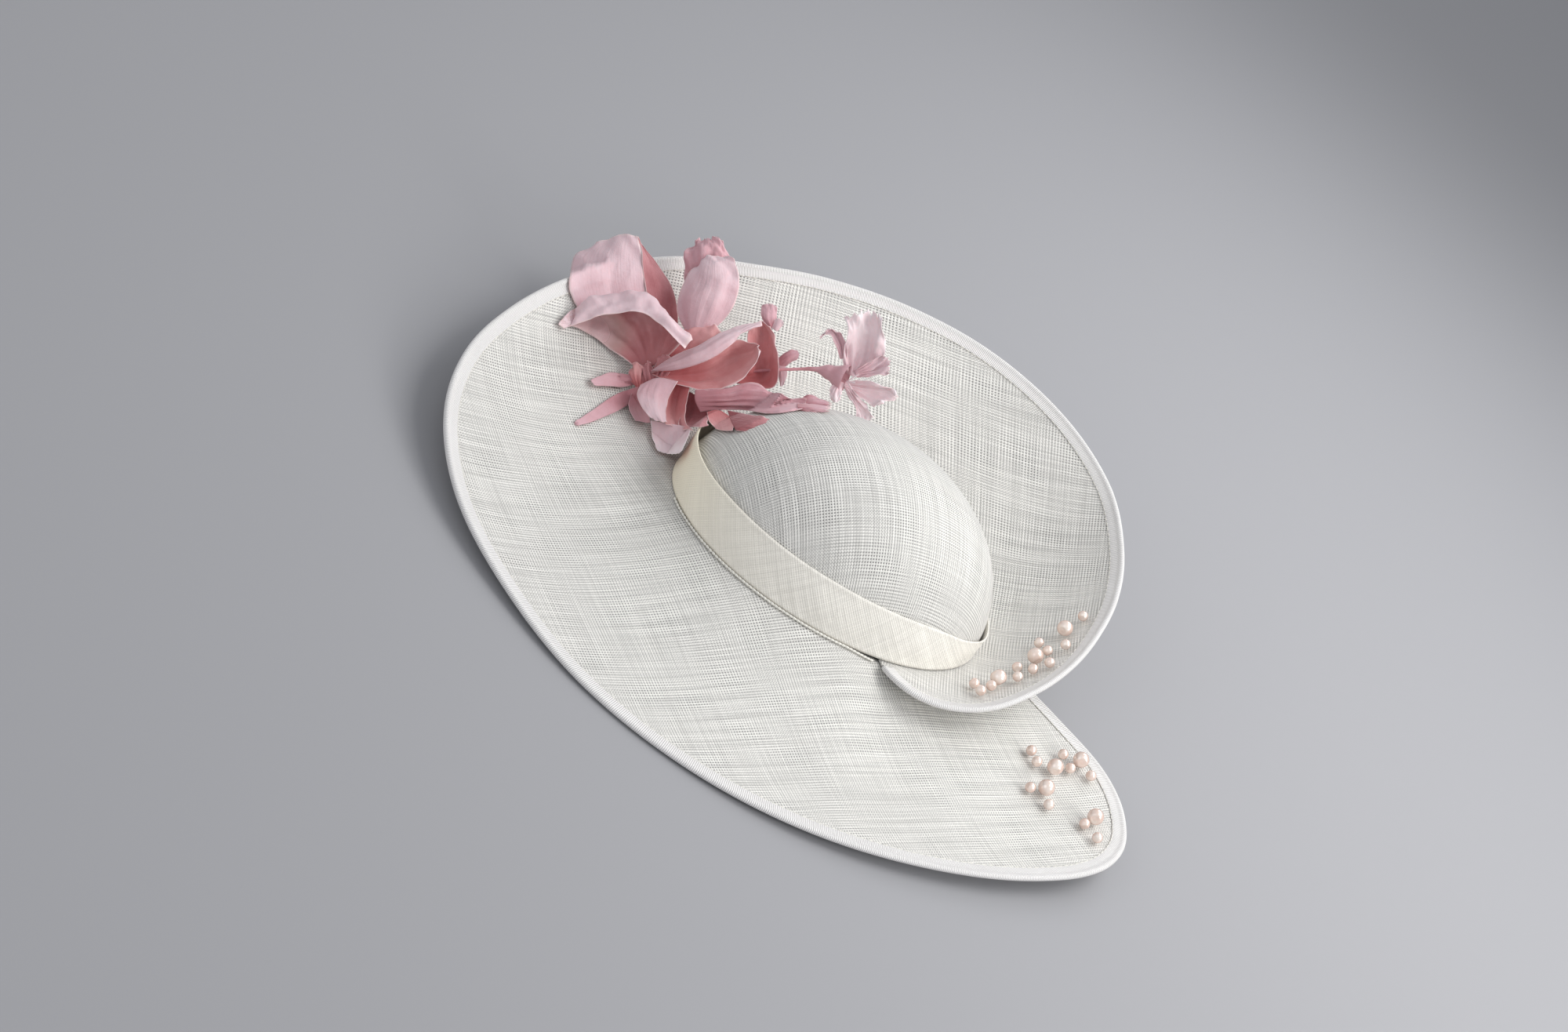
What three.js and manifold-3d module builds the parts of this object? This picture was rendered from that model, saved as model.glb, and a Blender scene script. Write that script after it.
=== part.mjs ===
// Wide-brim hat of stiffened ivory sinamay. An oval dome crown stands on a brim that is cut
// once and wound past its own start: its first end rises as a cuff, its last end passes below.
// Ribbed binding runs round the whole brim edge, a soft band goes round the crown, pearls lie
// at both ends of the brim, and a spray of silk flowers is sewn on in front.
// Millimetres, +Z up. The hat lies by itself on a surface at z = 0, its front towards -Y and
// the wearer's left towards +X. Turns are degrees round the crown, counted from the wearer's
// left over the back, and pass 360 where the brim laps under its own start.
import * as THREE from 'three';
import Module from 'manifold-3d';
import { ConvexHull } from 'three/addons/math/ConvexHull.js';
import { mergeVertices } from 'three/addons/utils/BufferGeometryUtils.js';

const wasm = await Module();
wasm.setup();

// Crown: an oval dome, open below
const CROWN_LENGTH = 202;
const CROWN_WIDTH = 172;
const CROWN_HEIGHT = 80;
const CROWN_WALL = 1.6;

// Brim: one sheet with a collar inside the crown
const BRIM_WIDTH = 148;
const BRIM_RISE = 85;
const BRIM_WALL = 1.6;
const COLLAR_HEIGHT = 10;

// Ribbed binding folded over the brim edge
const BINDING_WIDTH = 6;
const BINDING_WALL = 0.9;

// Band round the crown
const BAND_HEIGHT = 28;
const BAND_WALL = 1.4;
const BAND_STANDOFF = 6;

// Pearls
const LARGE_PEARL = 10;
const SMALL_PEARL = 6.5;

// Silk flowers: the large flower's heart is sewn to the brim in front, on the wearer's right
const FLOWER_TURN = 240;
const FLOWER_OUT = 44;
const FLOWER_LENGTH = 90;
const PETAL_WALL = 1;
const PETAL_CLEARANCE = 3;
const HEART_RADIUS = 6;
const STEM_RADIUS = 0.9;
const KNOT_RADIUS = 2;
const TRUMPET_RADIUS = 7;
const BUD_RADIUS = 5.5;

// Form of every petal: width at its foot and place of its widest part, as shares, and the place
// where its tip starts to curl
const PETAL_FOOT = 0.14;
const PETAL_WIDEST = 0.6;
const CURL_START = 0.7;

// Necks of the trumpet and the bud: share of the way from stem to end, and of their radius
const TRUMPET_NECK = { along: 0.4, radius: 0.3 };
const BUD_NECK = { along: 0.35, radius: 0.75 };

// Places of the corners of a petal along its length and across half its width
const LARGE_GRID = { along: [0, 0.25, 0.5, 0.78, 1], across: [-1, -0.4, 0.4, 1] };
const SMALL_GRID = { along: [0, 0.35, 0.75, 1], across: [-1, 0, 1] };

// Clearances
const SEAT_GAP = 0.3;
const PEARL_GAP = 0.6;
const COLLAR_GAP = 0.5;
// How far the flat facets of the brim lie above its hollow form under the large flower
const FACET_RISE = 1;

// Fineness of the faceted solids
const CROWN_SIDES = 40;
const CROWN_ROWS = 7;
const EDGE_STEP = 38;
const EDGE_BEND = 0.3;
const EDGE_SAMPLES = 1500;
const PEARL_SIDES = 10;
const PEARL_ROWS = 5;
const STEM_SIDES = 6;
const STEM_STEPS = 6;

// Sections of the brim, whole, before its two ends are cut: width and hollow are shares of
// BRIM_WIDTH and of the section's own width, rise is a share of BRIM_RISE
const SECTIONS = table(['turn', 'width', 'rise', 'hollow'], [
  [20, 0.3, 0.055, 0.02],
  [33, 0.3, 0.065, 0.03],
  [47, 0.3, 0.135, 0.07],
  [61, 0.31, 0.247, 0.1],
  [75, 0.338, 0.365, 0.11],
  [88, 0.39, 0.475, 0.11],
  [100, 0.472, 0.588, 0.11],
  [115, 0.6, 0.725, 0.11],
  [130, 0.73, 0.862, 0.1],
  [145, 0.79, 0.963, 0.09],
  [162, 0.81, 1, 0.09],
  [178, 0.785, 0.968, 0.09],
  [195, 0.753, 0.884, 0.09],
  [208, 0.742, 0.79, 0.09],
  [225, 0.772, 0.65, 0.09],
  [245, 0.81, 0.422, 0.09],
  [258, 0.857, 0.255, 0.08],
  [270, 0.915, 0.085, 0.08],
  [282, 0.945, -0.08, 0.07],
  [296, 0.938, -0.24, 0.07],
  [312, 0.905, -0.362, 0.06],
  [328, 0.895, -0.437, 0.06],
  [345, 0.885, -0.455, 0.06],
  [362, 0.89, -0.422, 0.06],
  [383, 0.91, -0.335, 0.06],
  [400, 0.955, -0.237, 0.05],
  [410, 0.985, -0.158, 0.05],
  [420, 0.99, -0.07, 0.05],
  [430, 1, 0.03, 0.04],
  [440, 1, 0.1, 0.04],
  [452, 1, 0.14, 0.04],
]);

// The cut at each end of the brim, from the headline out and back: share of the section's width
const FIRST_CUT = table(['turn', 'share'], [
  [24.5, 0.16],
  [25.2, 0.31],
  [27.7, 0.57],
  [32.6, 0.78],
  [39.5, 0.92],
]);
const LAST_CUT = table(['turn', 'share'], [
  [407, 1],
  [412, 0.99],
  [417, 0.957],
  [421, 0.9],
  [426, 0.795],
  [431, 0.65],
  [437, 0.425],
  [442, 0.27],
  [447, 0.15],
]);

// The sheet keeps its collar up to COLLAR_ENDS and lies under its own start from LAP_ENDS
const COLLAR_ENDS = [350, 368];
const LAP_ENDS = [368, 384];

// Rows of the band from its foot to its upper edge
const BAND_SHARES = [0, 0.34, 0.67, 1];

// Upper edge of the band: shares of BAND_HEIGHT and BAND_STANDOFF
const BAND_SECTIONS = table(['turn', 'height', 'standoff'], [
  [-20, 1, 0.05],
  [0, 1, 0],
  [30, 0.95, 0],
  [45, 0.86, 0],
  [60, 0.66, 0],
  [76, 0.5, 0.3],
  [90, 0.5, 0.1],
  [130, 0.6, 0],
  [180, 0.75, 0],
  [230, 0.9, 0.3],
  [258, 1, 1],
  [285, 1, 1],
  [308, 1, 0.3],
  [340, 1, 0.05],
  [360, 1, 0],
  [390, 0.95, 0],
]);

// Pearls: turn, share of the section's width, and diameter
const PEARLS = table(['turn', 'share', 'size'], [
  [95.4, 0.85, SMALL_PEARL],
  [90.6, 0.77, LARGE_PEARL],
  [83.8, 0.84, SMALL_PEARL],
  [86.6, 0.6, SMALL_PEARL],
  [81.9, 0.72, SMALL_PEARL],
  [77.8, 0.67, LARGE_PEARL],
  [74.8, 0.84, SMALL_PEARL],
  [71.4, 0.75, SMALL_PEARL],
  [72.2, 0.58, SMALL_PEARL],
  [66, 0.71, SMALL_PEARL],
  [61.4, 0.6, LARGE_PEARL],
  [56.6, 0.65, SMALL_PEARL],
  [54, 0.5, SMALL_PEARL],
  [51.2, 0.69, SMALL_PEARL],
  [420.6, 0.44, SMALL_PEARL],
  [419.2, 0.49, SMALL_PEARL],
  [421.1, 0.55, LARGE_PEARL],
  [426.2, 0.525, SMALL_PEARL],
  [427.3, 0.59, LARGE_PEARL],
  [424.3, 0.585, SMALL_PEARL],
  [426, 0.66, SMALL_PEARL],
  [411.8, 0.58, SMALL_PEARL],
  [414.5, 0.61, LARGE_PEARL],
  [412.2, 0.675, SMALL_PEARL],
  [417.4, 0.81, LARGE_PEARL],
  [414.9, 0.808, SMALL_PEARL],
  [414.2, 0.885, SMALL_PEARL],
]);

// Petals of the large flower, from its heart. Tip and width are shares of FLOWER_LENGTH, roll is
// in degrees, and the rest are shares: blunt of the width at the tip, bow of the length, cup and
// wave of half the width, curl of the length at the tip
const PETAL_COLUMNS = ['tip', 'roll', 'width', 'blunt', 'bow', 'cup', 'curl', 'wave'];
const LARGE_PETALS = table(PETAL_COLUMNS, [
  [[-0.66, -0.77, 0.42], 36, 0.74, 0.55, 0.04, 0.15, 0, 0.1],
  [[-0.69, -0.17, 0.78], -9, 0.5, 0.45, 0.05, 0.3, 0.06, 0.1],
  [[0.04, -0.56, 0.42], 83, 0.86, 0.6, 0.1, 0.25, 0.04, 0.2],
  [[-0.03, 0.07, 0.47], -96, 0.73, 0.5, 0.1, 0.25, -0.2, 0.1],
  [[0.03, 0.39, 0.53], -41, 0.44, 0.5, 0.1, 0.4, 0.05, 0.1],
  [[-0.29, 0.46, 0.6], -37, 0.51, 0.5, 0.08, 0.25, -0.05, 0.15],
  [[0.47, 0.1, 0.03], -19, 0.49, 0.6, 0.12, 0.5, 0.2, 0.1],
  [[0.17, 0.77, 0.45], -25, 0.34, 0.35, 0.06, 0.1, 0, 0.15],
  [[0.82, 0.56, 0.5], -25, 0.34, 0.6, -0.06, 0.1, -0.05, 0.15],
  [[0.59, 0.15, -0.08], 0, 0.24, 0.8, 0.02, 0.1, 0, 0.1],
]);
const LEAVES = table(PETAL_COLUMNS, [
  [[0.3, -0.49, 0], 0, 0.12, 0.4, -0.03, 0.3, 0, 0.1],
  [[0.7, -0.48, -0.14], 0, 0.12, 0.4, -0.03, 0.3, 0, 0.1],
]);
const LEAF_KNOT = [0.06, -0.075, -0.05];

// Small blossoms on stems from the heart: places are shares of FLOWER_LENGTH
const TRUMPET = {
  stem: [[-0.6, 0.8, -0.1], [-0.36, 0.44, 0.1], [-0.37, 0.67, 0.4], [-0.36, 0.84, 0.52]],
  mouth: [-0.34, 1, 0.61],
  petals: table(PETAL_COLUMNS, [
    [[-0.59, 0.87, 0.91], 0, 0.18, 0.5, 0.05, 0.3, 0, 0.2],
    [[-0.64, 1.04, 1], 0, 0.24, 0.5, 0.05, 0.3, 0, 0.2],
    [[-0.34, 1.24, 0.81], 0, 0.26, 0.5, 0.05, 0.3, 0, 0.2],
    [[-0.2, 1.38, 0.7], 0, 0.26, 0.5, 0.05, 0.3, 0, 0.2],
    [[-0.07, 1.24, 0.45], 0, 0.16, 0.5, 0.05, 0.3, 0, 0.2],
    [[-0.13, 1.02, 0.47], 0, 0.12, 0.5, 0.05, 0.3, 0, 0.2],
    [[-0.42, 0.77, 0.67], 0, 0.16, 0.5, -0.15, 0.3, 0, 0.2],
  ]),
};
const UPPER_BLOSSOM = {
  stem: [[-0.95, 0.1, 0.3], [-0.47, 0.22, 0.16], [-0.44, 0.46, 0.48]],
  petals: table(PETAL_COLUMNS, [
    [[-0.59, 0.35, 0.63], 0, 0.14, 0.5, 0.05, 0.3, 0, 0.2],
    [[-0.54, 0.48, 0.69], 0, 0.14, 0.5, 0.05, 0.3, 0, 0.2],
  ]),
};
const LOWER_BLOSSOM = {
  stem: [[0.3, 0.95, -0.1], [0.02, 0.36, 0.06], [-0.01, 0.67, 0.28]],
  petals: table(PETAL_COLUMNS, [
    [[-0.07, 0.88, 0.47], 0, 0.16, 0.5, 0.05, 0.3, 0, 0.2],
    [[0.06, 1.04, 0.42], 0, 0.14, 0.5, 0.05, 0.3, 0, 0.2],
  ]),
};
const BUD = {
  stem: [[-0.85, 0.52, 0.05], [-0.42, 0.33, 0.14], [-0.32, 0.58, 0.44]],
  tip: [-0.31, 0.65, 0.54],
};

/** Rows of numbers as records with named columns. */
function table(names, rows) {
  return rows.map((row) => Object.fromEntries(names.map((name, column) => [name, row[column]])));
}

/** Value of a column at a turn: a smooth curve through the rows of a table. */
function smooth(rows, column, turn) {
  const last = rows.length - 2;
  const found = rows.findIndex((row) => row.turn > turn) - 1;
  const from = found < 0 ? (turn < rows[0].turn ? 0 : last) : found;
  const slope = (index) => {
    const before = rows[Math.max(index - 1, 0)];
    const after = rows[Math.min(index + 1, last + 1)];
    return (after[column] - before[column]) / (after.turn - before.turn);
  };
  const start = rows[from];
  const end = rows[from + 1];
  const length = end.turn - start.turn;
  const t = (turn - start.turn) / length;
  const hold = (1 + 2 * t) * (1 - t) ** 2 * start[column] + t * t * (3 - 2 * t) * end[column];
  const lean = t * (1 - t) ** 2 * slope(from) - t * t * (1 - t) * slope(from + 1);
  return hold + length * lean;
}

/** Point at a turn, a distance from the crown's axis and a height. */
function around(turn, radius, height) {
  const angle = THREE.MathUtils.degToRad(turn);
  return new THREE.Vector3(radius * Math.cos(angle), radius * Math.sin(angle), height);
}

/** Distance from the axis to the oval headline, grown outwards by some millimetres. */
function headline(turn, grown = 0) {
  const angle = THREE.MathUtils.degToRad(turn);
  const across = Math.cos(angle) / (CROWN_WIDTH / 2 + grown);
  const along = Math.sin(angle) / (CROWN_LENGTH / 2 + grown);
  return 1 / Math.hypot(across, along);
}

/** Share of the way from one value to another, eased at both ends. */
function eased(value, [from, to]) {
  return THREE.MathUtils.smoothstep(value, from, to);
}

/** Triangles of a mesh with welded corners, turned so that they face out. */
function solidOf(positions, triangles) {
  const loose = new THREE.BufferGeometry();
  loose.setAttribute('position', new THREE.Float32BufferAttribute(positions, 3));
  loose.setIndex(triangles);
  const welded = mergeVertices(loose);
  const index = welded.index.array;
  const corner = (at) => new THREE.Vector3().fromBufferAttribute(welded.attributes.position, at);
  const kept = [];
  let volume = 0;
  for (let at = 0; at < index.length; at += 3) {
    const [a, b, c] = index.slice(at, at + 3);
    if (a !== b && b !== c && c !== a) {
      kept.push(a, b, c);
      volume += corner(a).dot(corner(b).cross(corner(c)));
    }
  }
  welded.setIndex(volume < 0 ? kept.reverse() : kept);
  return welded;
}

/**
 * Solid through a row of strips, each with as many points on its front as on its back. The
 * last strip joins the first in a closed loop, and otherwise both end strips are filled.
 */
function loft(strips, closed = false) {
  const width = strips[0].front.length;
  const ring = 2 * width;
  const positions = [];
  for (const { front, back } of strips) {
    for (const point of [...front, ...back.toReversed()]) {
      positions.push(point.x, point.y, point.z);
    }
  }
  const triangles = [];
  const quad = (a, b, c, d) => triangles.push(a, b, c, a, c, d);
  const steps = closed ? strips.length : strips.length - 1;
  for (let step = 0; step < steps; step += 1) {
    const here = step * ring;
    const next = ((step + 1) % strips.length) * ring;
    for (let side = 0; side < ring; side += 1) {
      const after = (side + 1) % ring;
      quad(here + side, next + side, next + after, here + after);
    }
  }
  if (!closed) {
    const end = (strips.length - 1) * ring;
    for (let column = 0; column < width - 1; column += 1) {
      const across = ring - 1 - column;
      quad(column, column + 1, across - 1, across);
      quad(end + across, end + across - 1, end + column + 1, end + column);
    }
  }
  return solidOf(positions, triangles);
}

/** Strips of a wall whose middle runs through a grid of points. */
function thicken(grid, wall) {
  const between = (before, here, after) => {
    const tangent = new THREE.Vector3();
    if (before) {
      tangent.add(here.clone().sub(before).normalize());
    }
    if (after) {
      tangent.add(after.clone().sub(here).normalize());
    }
    return tangent.normalize();
  };
  return grid.map((row, line) => {
    const offsets = row.map((here, column) => {
      const along = between(grid[line - 1]?.[column], here, grid[line + 1]?.[column]);
      const across = between(row[column - 1], here, row[column + 1]);
      return along.cross(across).setLength(wall / 2);
    });
    return {
      front: row.map((here, column) => here.clone().add(offsets[column])),
      back: row.map((here, column) => here.clone().sub(offsets[column])),
    };
  });
}

/** Dome with a flat lower edge, open below. */
function crownSolid() {
  const face = (turn, wall) => {
    const points = [];
    for (let row = 0; row <= CROWN_ROWS; row += 1) {
      const angle = (Math.PI / 2) * (row / CROWN_ROWS);
      const radius = row < CROWN_ROWS ? headline(turn, -wall) * Math.cos(angle) : 0;
      points.push(around(turn, radius, (CROWN_HEIGHT - wall) * Math.sin(angle)));
    }
    return points;
  };
  const strips = [];
  for (let side = 0; side < CROWN_SIDES; side += 1) {
    const turn = (360 * side) / CROWN_SIDES;
    strips.push({ front: face(turn, 0), back: face(turn, CROWN_WALL) });
  }
  return loft(strips, true);
}

// The brim turns round the crown's inner lower corner and runs out level below its wall
const CORNER_REACH = (BRIM_WALL / 2 + COLLAR_GAP) / Math.cos(Math.PI / 8);
const LEDGE_HEIGHT = -CORNER_REACH;
const LAP_HEIGHT = LEDGE_HEIGHT - BRIM_WALL - SEAT_GAP;
const LEDGE_WIDTH = SEAT_GAP + BAND_WALL + SEAT_GAP;
const COLLAR_STUMP = 0.5;
const DOME_LEAN = Math.tan(Math.PI / (4 * CROWN_ROWS));
// Rows of the dished part between crown and binding, and the nearest place of the binding's row
const DISH_SHARES = [0.27, 0.62];
const BOUND_SHARE = 0.7;

/** Height of the middle of the brim sheet, at a turn and a distance out from the headline. */
function brimHeight(turn, out) {
  const root = THREE.MathUtils.lerp(LEDGE_HEIGHT, LAP_HEIGHT, eased(turn, LAP_ENDS));
  const span = BRIM_WIDTH * smooth(SECTIONS, 'width', turn) - LEDGE_WIDTH;
  const share = Math.max(out - LEDGE_WIDTH, 0) / span;
  const rise = BRIM_RISE * smooth(SECTIONS, 'rise', turn);
  const sag = span * smooth(SECTIONS, 'hollow', turn) * 4 * share * (1 - share);
  return THREE.MathUtils.lerp(root, rise, share) - sag;
}

/** Middle of the brim sheet, at a turn and a distance out from the headline. */
function brimPoint(turn, out) {
  return around(turn, headline(turn) + out, brimHeight(turn, out));
}

/** Upward normal of the brim sheet. */
function brimNormal(turn, out) {
  const step = 0.05;
  const outwards = brimPoint(turn, out + step).sub(brimPoint(turn, out));
  const onwards = brimPoint(turn + step, out).sub(brimPoint(turn - step, out));
  return outwards.cross(onwards).normalize();
}

/** Middle of one row of the brim sheet, from its collar to its edge. */
function brimRow({ turn, out }) {
  const height = THREE.MathUtils.lerp(COLLAR_HEIGHT, COLLAR_STUMP, eased(turn, COLLAR_ENDS));
  const corner = -CROWN_WALL;
  const slant = CORNER_REACH * Math.SQRT1_2;
  const lean = (height * DOME_LEAN * headline(turn)) / CROWN_HEIGHT;
  const bend = [
    [corner - CORNER_REACH - lean, height],
    [corner - CORNER_REACH, 0],
    [corner - slant, -slant],
    [corner, -CORNER_REACH],
  ];
  const lapped = eased(turn, LAP_ENDS);
  const flatStep = (LEDGE_WIDTH - corner) / bend.length;
  const row = bend.map(([place, level], index) => {
    const distance = THREE.MathUtils.lerp(place, corner + index * flatStep, lapped);
    return around(turn, headline(turn) + distance, THREE.MathUtils.lerp(level, LAP_HEIGHT, lapped));
  });
  row.push(brimPoint(turn, LEDGE_WIDTH));
  const bound = Math.max(1 - BINDING_WIDTH / (out - LEDGE_WIDTH), BOUND_SHARE);
  for (const share of [...DISH_SHARES, bound, 1]) {
    row.push(brimPoint(turn, THREE.MathUtils.lerp(LEDGE_WIDTH, out, share)));
  }
  return row;
}

/** Places along the brim edge, closer together where it bends more. */
function edgeStations() {
  const first = FIRST_CUT.at(-1).turn;
  const last = LAST_CUT[0].turn;
  const width = (turn) => BRIM_WIDTH * smooth(SECTIONS, 'width', turn);
  const rows = [
    ...FIRST_CUT,
    ...SECTIONS.filter(({ turn }) => turn > first && turn < last).map(({ turn }) => ({ turn, share: 1 })),
    ...LAST_CUT,
  ];
  // The edge is drawn on the sheet laid out flat, where a degree is as long as on the real edge
  const degree = THREE.MathUtils.degToRad(CROWN_WIDTH / 2 + BRIM_WIDTH);
  const plan = rows.map(({ turn, share }) => {
    return new THREE.Vector3(turn * degree, share * width(turn), 0);
  });
  const curve = new THREE.CatmullRomCurve3(plan, false, 'centripetal');
  const samples = [];
  for (let sample = 0; sample <= EDGE_SAMPLES; sample += 1) {
    const { x, y } = curve.getPoint(sample / EDGE_SAMPLES);
    samples.push({ turn: x / degree, out: y, at: brimPoint(x / degree, y) });
  }
  let spent = 0;
  samples.forEach((sample, index) => {
    const before = samples[Math.max(index - 1, 0)];
    const after = samples[Math.min(index + 1, EDGE_SAMPLES)];
    const back = sample.at.clone().sub(before.at);
    sample.along = after.at.clone().sub(before.at).normalize();
    const bend = index > 0 ? sample.along.angleTo(before.along) : 0;
    spent += back.length() / EDGE_STEP + bend / EDGE_BEND;
    sample.spent = spent;
  });
  const count = Math.round(spent);
  const stations = [];
  for (let station = 0; station <= count; station += 1) {
    const reached = (spent * station) / count;
    stations.push(samples.find((sample) => sample.spent >= reached) ?? samples.at(-1));
  }
  return stations;
}

const EDGE = edgeStations();

/** The whole brim sheet with its collar. */
function brimSolid() {
  return loft(thicken(EDGE.map(brimRow), BRIM_WALL));
}

/** Point at a distance in from the brim edge, raised off the middle of the sheet. */
function edgePoint({ turn, out, at, along }, inwards, raised) {
  const normal = brimNormal(turn, out);
  const inside = along.clone().cross(normal).normalize().negate();
  if (inwards <= 0) {
    return at.clone().addScaledVector(inside, inwards).addScaledVector(normal, raised);
  }
  const moved = at.clone().addScaledVector(inside, inwards);
  const angle = THREE.MathUtils.radToDeg(Math.atan2(moved.y, moved.x));
  const nearTurn = angle + 360 * Math.round((turn - angle) / 360);
  const nearOut = Math.hypot(moved.x, moved.y) - headline(nearTurn);
  return brimPoint(nearTurn, nearOut).addScaledVector(brimNormal(nearTurn, nearOut), raised);
}

/** Binding: a fold over the edge, closed round its outside. */
function bindingSolid() {
  const slot = BRIM_WALL / 2 + SEAT_GAP;
  const face = slot + BINDING_WALL;
  const outside = [
    [BINDING_WIDTH, face],
    [-SEAT_GAP - BINDING_WALL, 0.8 * face],
  ];
  const inside = [
    [BINDING_WIDTH, slot],
    [-SEAT_GAP, slot],
  ];
  const folded = (half) => [...half, ...half.toReversed().map(([inwards, raised]) => [inwards, -raised])];
  const line = (station, half) => {
    return folded(half).map(([inwards, raised]) => edgePoint(station, inwards, raised));
  };
  return loft(EDGE.map((station) => ({ front: line(station, outside), back: line(station, inside) })));
}

/** Soft band round the crown, standing off a little in front. */
function bandSolid() {
  const foot = LEDGE_HEIGHT + BRIM_WALL / 2 + SEAT_GAP;
  const line = (turn, wall) => {
    return BAND_SHARES.map((share) => {
      const height = foot + share * (BAND_HEIGHT * smooth(BAND_SECTIONS, 'height', turn) - foot);
      const crown = headline(turn) * Math.sqrt(1 - (height / CROWN_HEIGHT) ** 2);
      const standoff = share ** 2 * BAND_STANDOFF * smooth(BAND_SECTIONS, 'standoff', turn);
      return around(turn, crown + SEAT_GAP + standoff + wall, height);
    });
  };
  const strips = [];
  for (let side = 0; side < CROWN_SIDES; side += 1) {
    const turn = (360 * side) / CROWN_SIDES;
    strips.push({ front: line(turn, BAND_WALL), back: line(turn, 0) });
  }
  return loft(strips, true);
}

/** Pearl resting on the brim. */
function pearl({ turn, share, size }) {
  const out = share * BRIM_WIDTH * smooth(SECTIONS, 'width', turn);
  const lift = BRIM_WALL / 2 + PEARL_GAP + size / 2;
  const geometry = solid(new THREE.SphereGeometry(size / 2, PEARL_SIDES, PEARL_ROWS));
  const place = brimPoint(turn, out).addScaledVector(brimNormal(turn, out), lift);
  return { geometry, place };
}

/** A closed three.js geometry with welded corners. */
function solid(geometry) {
  const { array, count } = geometry.attributes.position;
  const index = geometry.index?.array ?? Array.from({ length: count }, (_, at) => at);
  return solidOf(Array.from(array), Array.from(index));
}

/** Pieces that are glued together, as one body. */
function fused(geometries) {
  const bodies = geometries.map((geometry) => {
    const vertProperties = new Float32Array(geometry.attributes.position.array);
    const triVerts = new Uint32Array(geometry.index.array);
    return new wasm.Manifold(new wasm.Mesh({ numProp: 3, vertProperties, triVerts }));
  });
  const mesh = bodies.reduce((whole, body) => whole.add(body)).getMesh();
  return solidOf(Array.from(mesh.vertProperties), Array.from(mesh.triVerts));
}

const HEART = brimPoint(FLOWER_TURN, FLOWER_OUT).addScaledVector(
  brimNormal(FLOWER_TURN, FLOWER_OUT),
  BRIM_WALL / 2 + SEAT_GAP + FACET_RISE + HEART_RADIUS,
);

/** Point of the spray, given in shares of FLOWER_LENGTH from the heart. */
function sprayPoint(shares) {
  return new THREE.Vector3(...shares).multiplyScalar(FLOWER_LENGTH).add(HEART);
}

/** The point itself, or the nearest place where silk lies on the crown, band or brim. */
function clearOfHat(point) {
  const bandReach = SEAT_GAP + BAND_STANDOFF + BAND_WALL + PETAL_CLEARANCE;
  const beside = point.z < BAND_HEIGHT + PETAL_CLEARANCE ? bandReach : PETAL_CLEARANCE;
  const reach = Math.hypot(
    point.x / (CROWN_WIDTH / 2 + beside),
    point.y / (CROWN_LENGTH / 2 + beside),
    point.z / (CROWN_HEIGHT + beside),
  );
  const clear = reach < 1 ? point.clone().divideScalar(reach) : point.clone();
  const angle = THREE.MathUtils.radToDeg(Math.atan2(clear.y, clear.x));
  const turn = angle < 0 ? angle + 360 : angle;
  const out = Math.hypot(clear.x, clear.y) - headline(turn);
  clear.z = Math.max(clear.z, brimHeight(turn, out) + (BRIM_WALL + PETAL_WALL) / 2 + PETAL_CLEARANCE);
  return clear;
}

/** Thin petal from a base point to its tip. */
function petal(base, { tip, roll, width, blunt, bow, cup, curl, wave }, places) {
  const tipPoint = sprayPoint(tip);
  const axis = tipPoint.clone().sub(base);
  const length = axis.length();
  axis.normalize();
  const side = axis.clone().cross(new THREE.Vector3(0, 0, 1)).normalize();
  side.applyAxisAngle(axis, -THREE.MathUtils.degToRad(roll));
  const face = side.clone().cross(axis);
  const grid = places.along.map((along) => places.across.map((across) => {
    const half = (width * FLOWER_LENGTH * petalOutline(along, blunt)) / 2;
    const lift = half * cup * across ** 2
      - length * bow * 4 * along * (1 - along)
      + length * curl * Math.max(0, (along - CURL_START) / (1 - CURL_START)) ** 2
      + half * wave * across * Math.sin(2 * Math.PI * along);
    const point = base.clone().addScaledVector(axis, length * along);
    return clearOfHat(point.addScaledVector(side, half * across).addScaledVector(face, lift));
  }));
  return loft(thicken(grid, PETAL_WALL));
}

/** Width of a petal along its length: narrow at the base and widest past the middle. */
function petalOutline(along, blunt) {
  if (along < PETAL_WIDEST) {
    return PETAL_FOOT + (1 - PETAL_FOOT) * Math.sin((Math.PI / 2) * (along / PETAL_WIDEST));
  }
  const past = (along - PETAL_WIDEST) / (1 - PETAL_WIDEST);
  return Math.sqrt(1 - (1 - blunt ** 2) * past ** 2);
}

/** Round stem that leaves the heart in one direction and passes through points of the spray. */
function stem([leave, ...through]) {
  const start = HEART.clone().addScaledVector(new THREE.Vector3(...leave).normalize(), HEART_RADIUS + SEAT_GAP);
  const points = [start, ...through.map((shares) => clearOfHat(sprayPoint(shares)))];
  const path = new THREE.CatmullRomCurve3(points, false, 'centripetal');
  const section = new THREE.Shape().absarc(0, 0, STEM_RADIUS, 0, 2 * Math.PI);
  const geometry = new THREE.ExtrudeGeometry(section, {
    extrudePath: path, steps: STEM_STEPS, curveSegments: STEM_SIDES / 2, bevelEnabled: false,
  });
  return { body: solid(geometry), end: points.at(-1) };
}

/** Ball of a given radius. */
function ball(centre, radius) {
  return solid(new THREE.SphereGeometry(radius, PEARL_SIDES, PEARL_ROWS)).translate(...centre);
}

/** Heart with its large petals. */
function largeFlowerSolid() {
  return fused([ball(HEART, HEART_RADIUS), ...LARGE_PETALS.map((row) => petal(HEART, row, LARGE_GRID))]);
}

/** Two narrow leaves on one knot beside the heart. */
function leavesSolid() {
  const apart = HEART_RADIUS + KNOT_RADIUS + SEAT_GAP;
  const knot = HEART.clone().addScaledVector(new THREE.Vector3(...LEAF_KNOT).normalize(), apart);
  return fused([ball(knot, KNOT_RADIUS), ...LEAVES.map((row) => petal(knot, row, SMALL_GRID))]);
}

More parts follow.
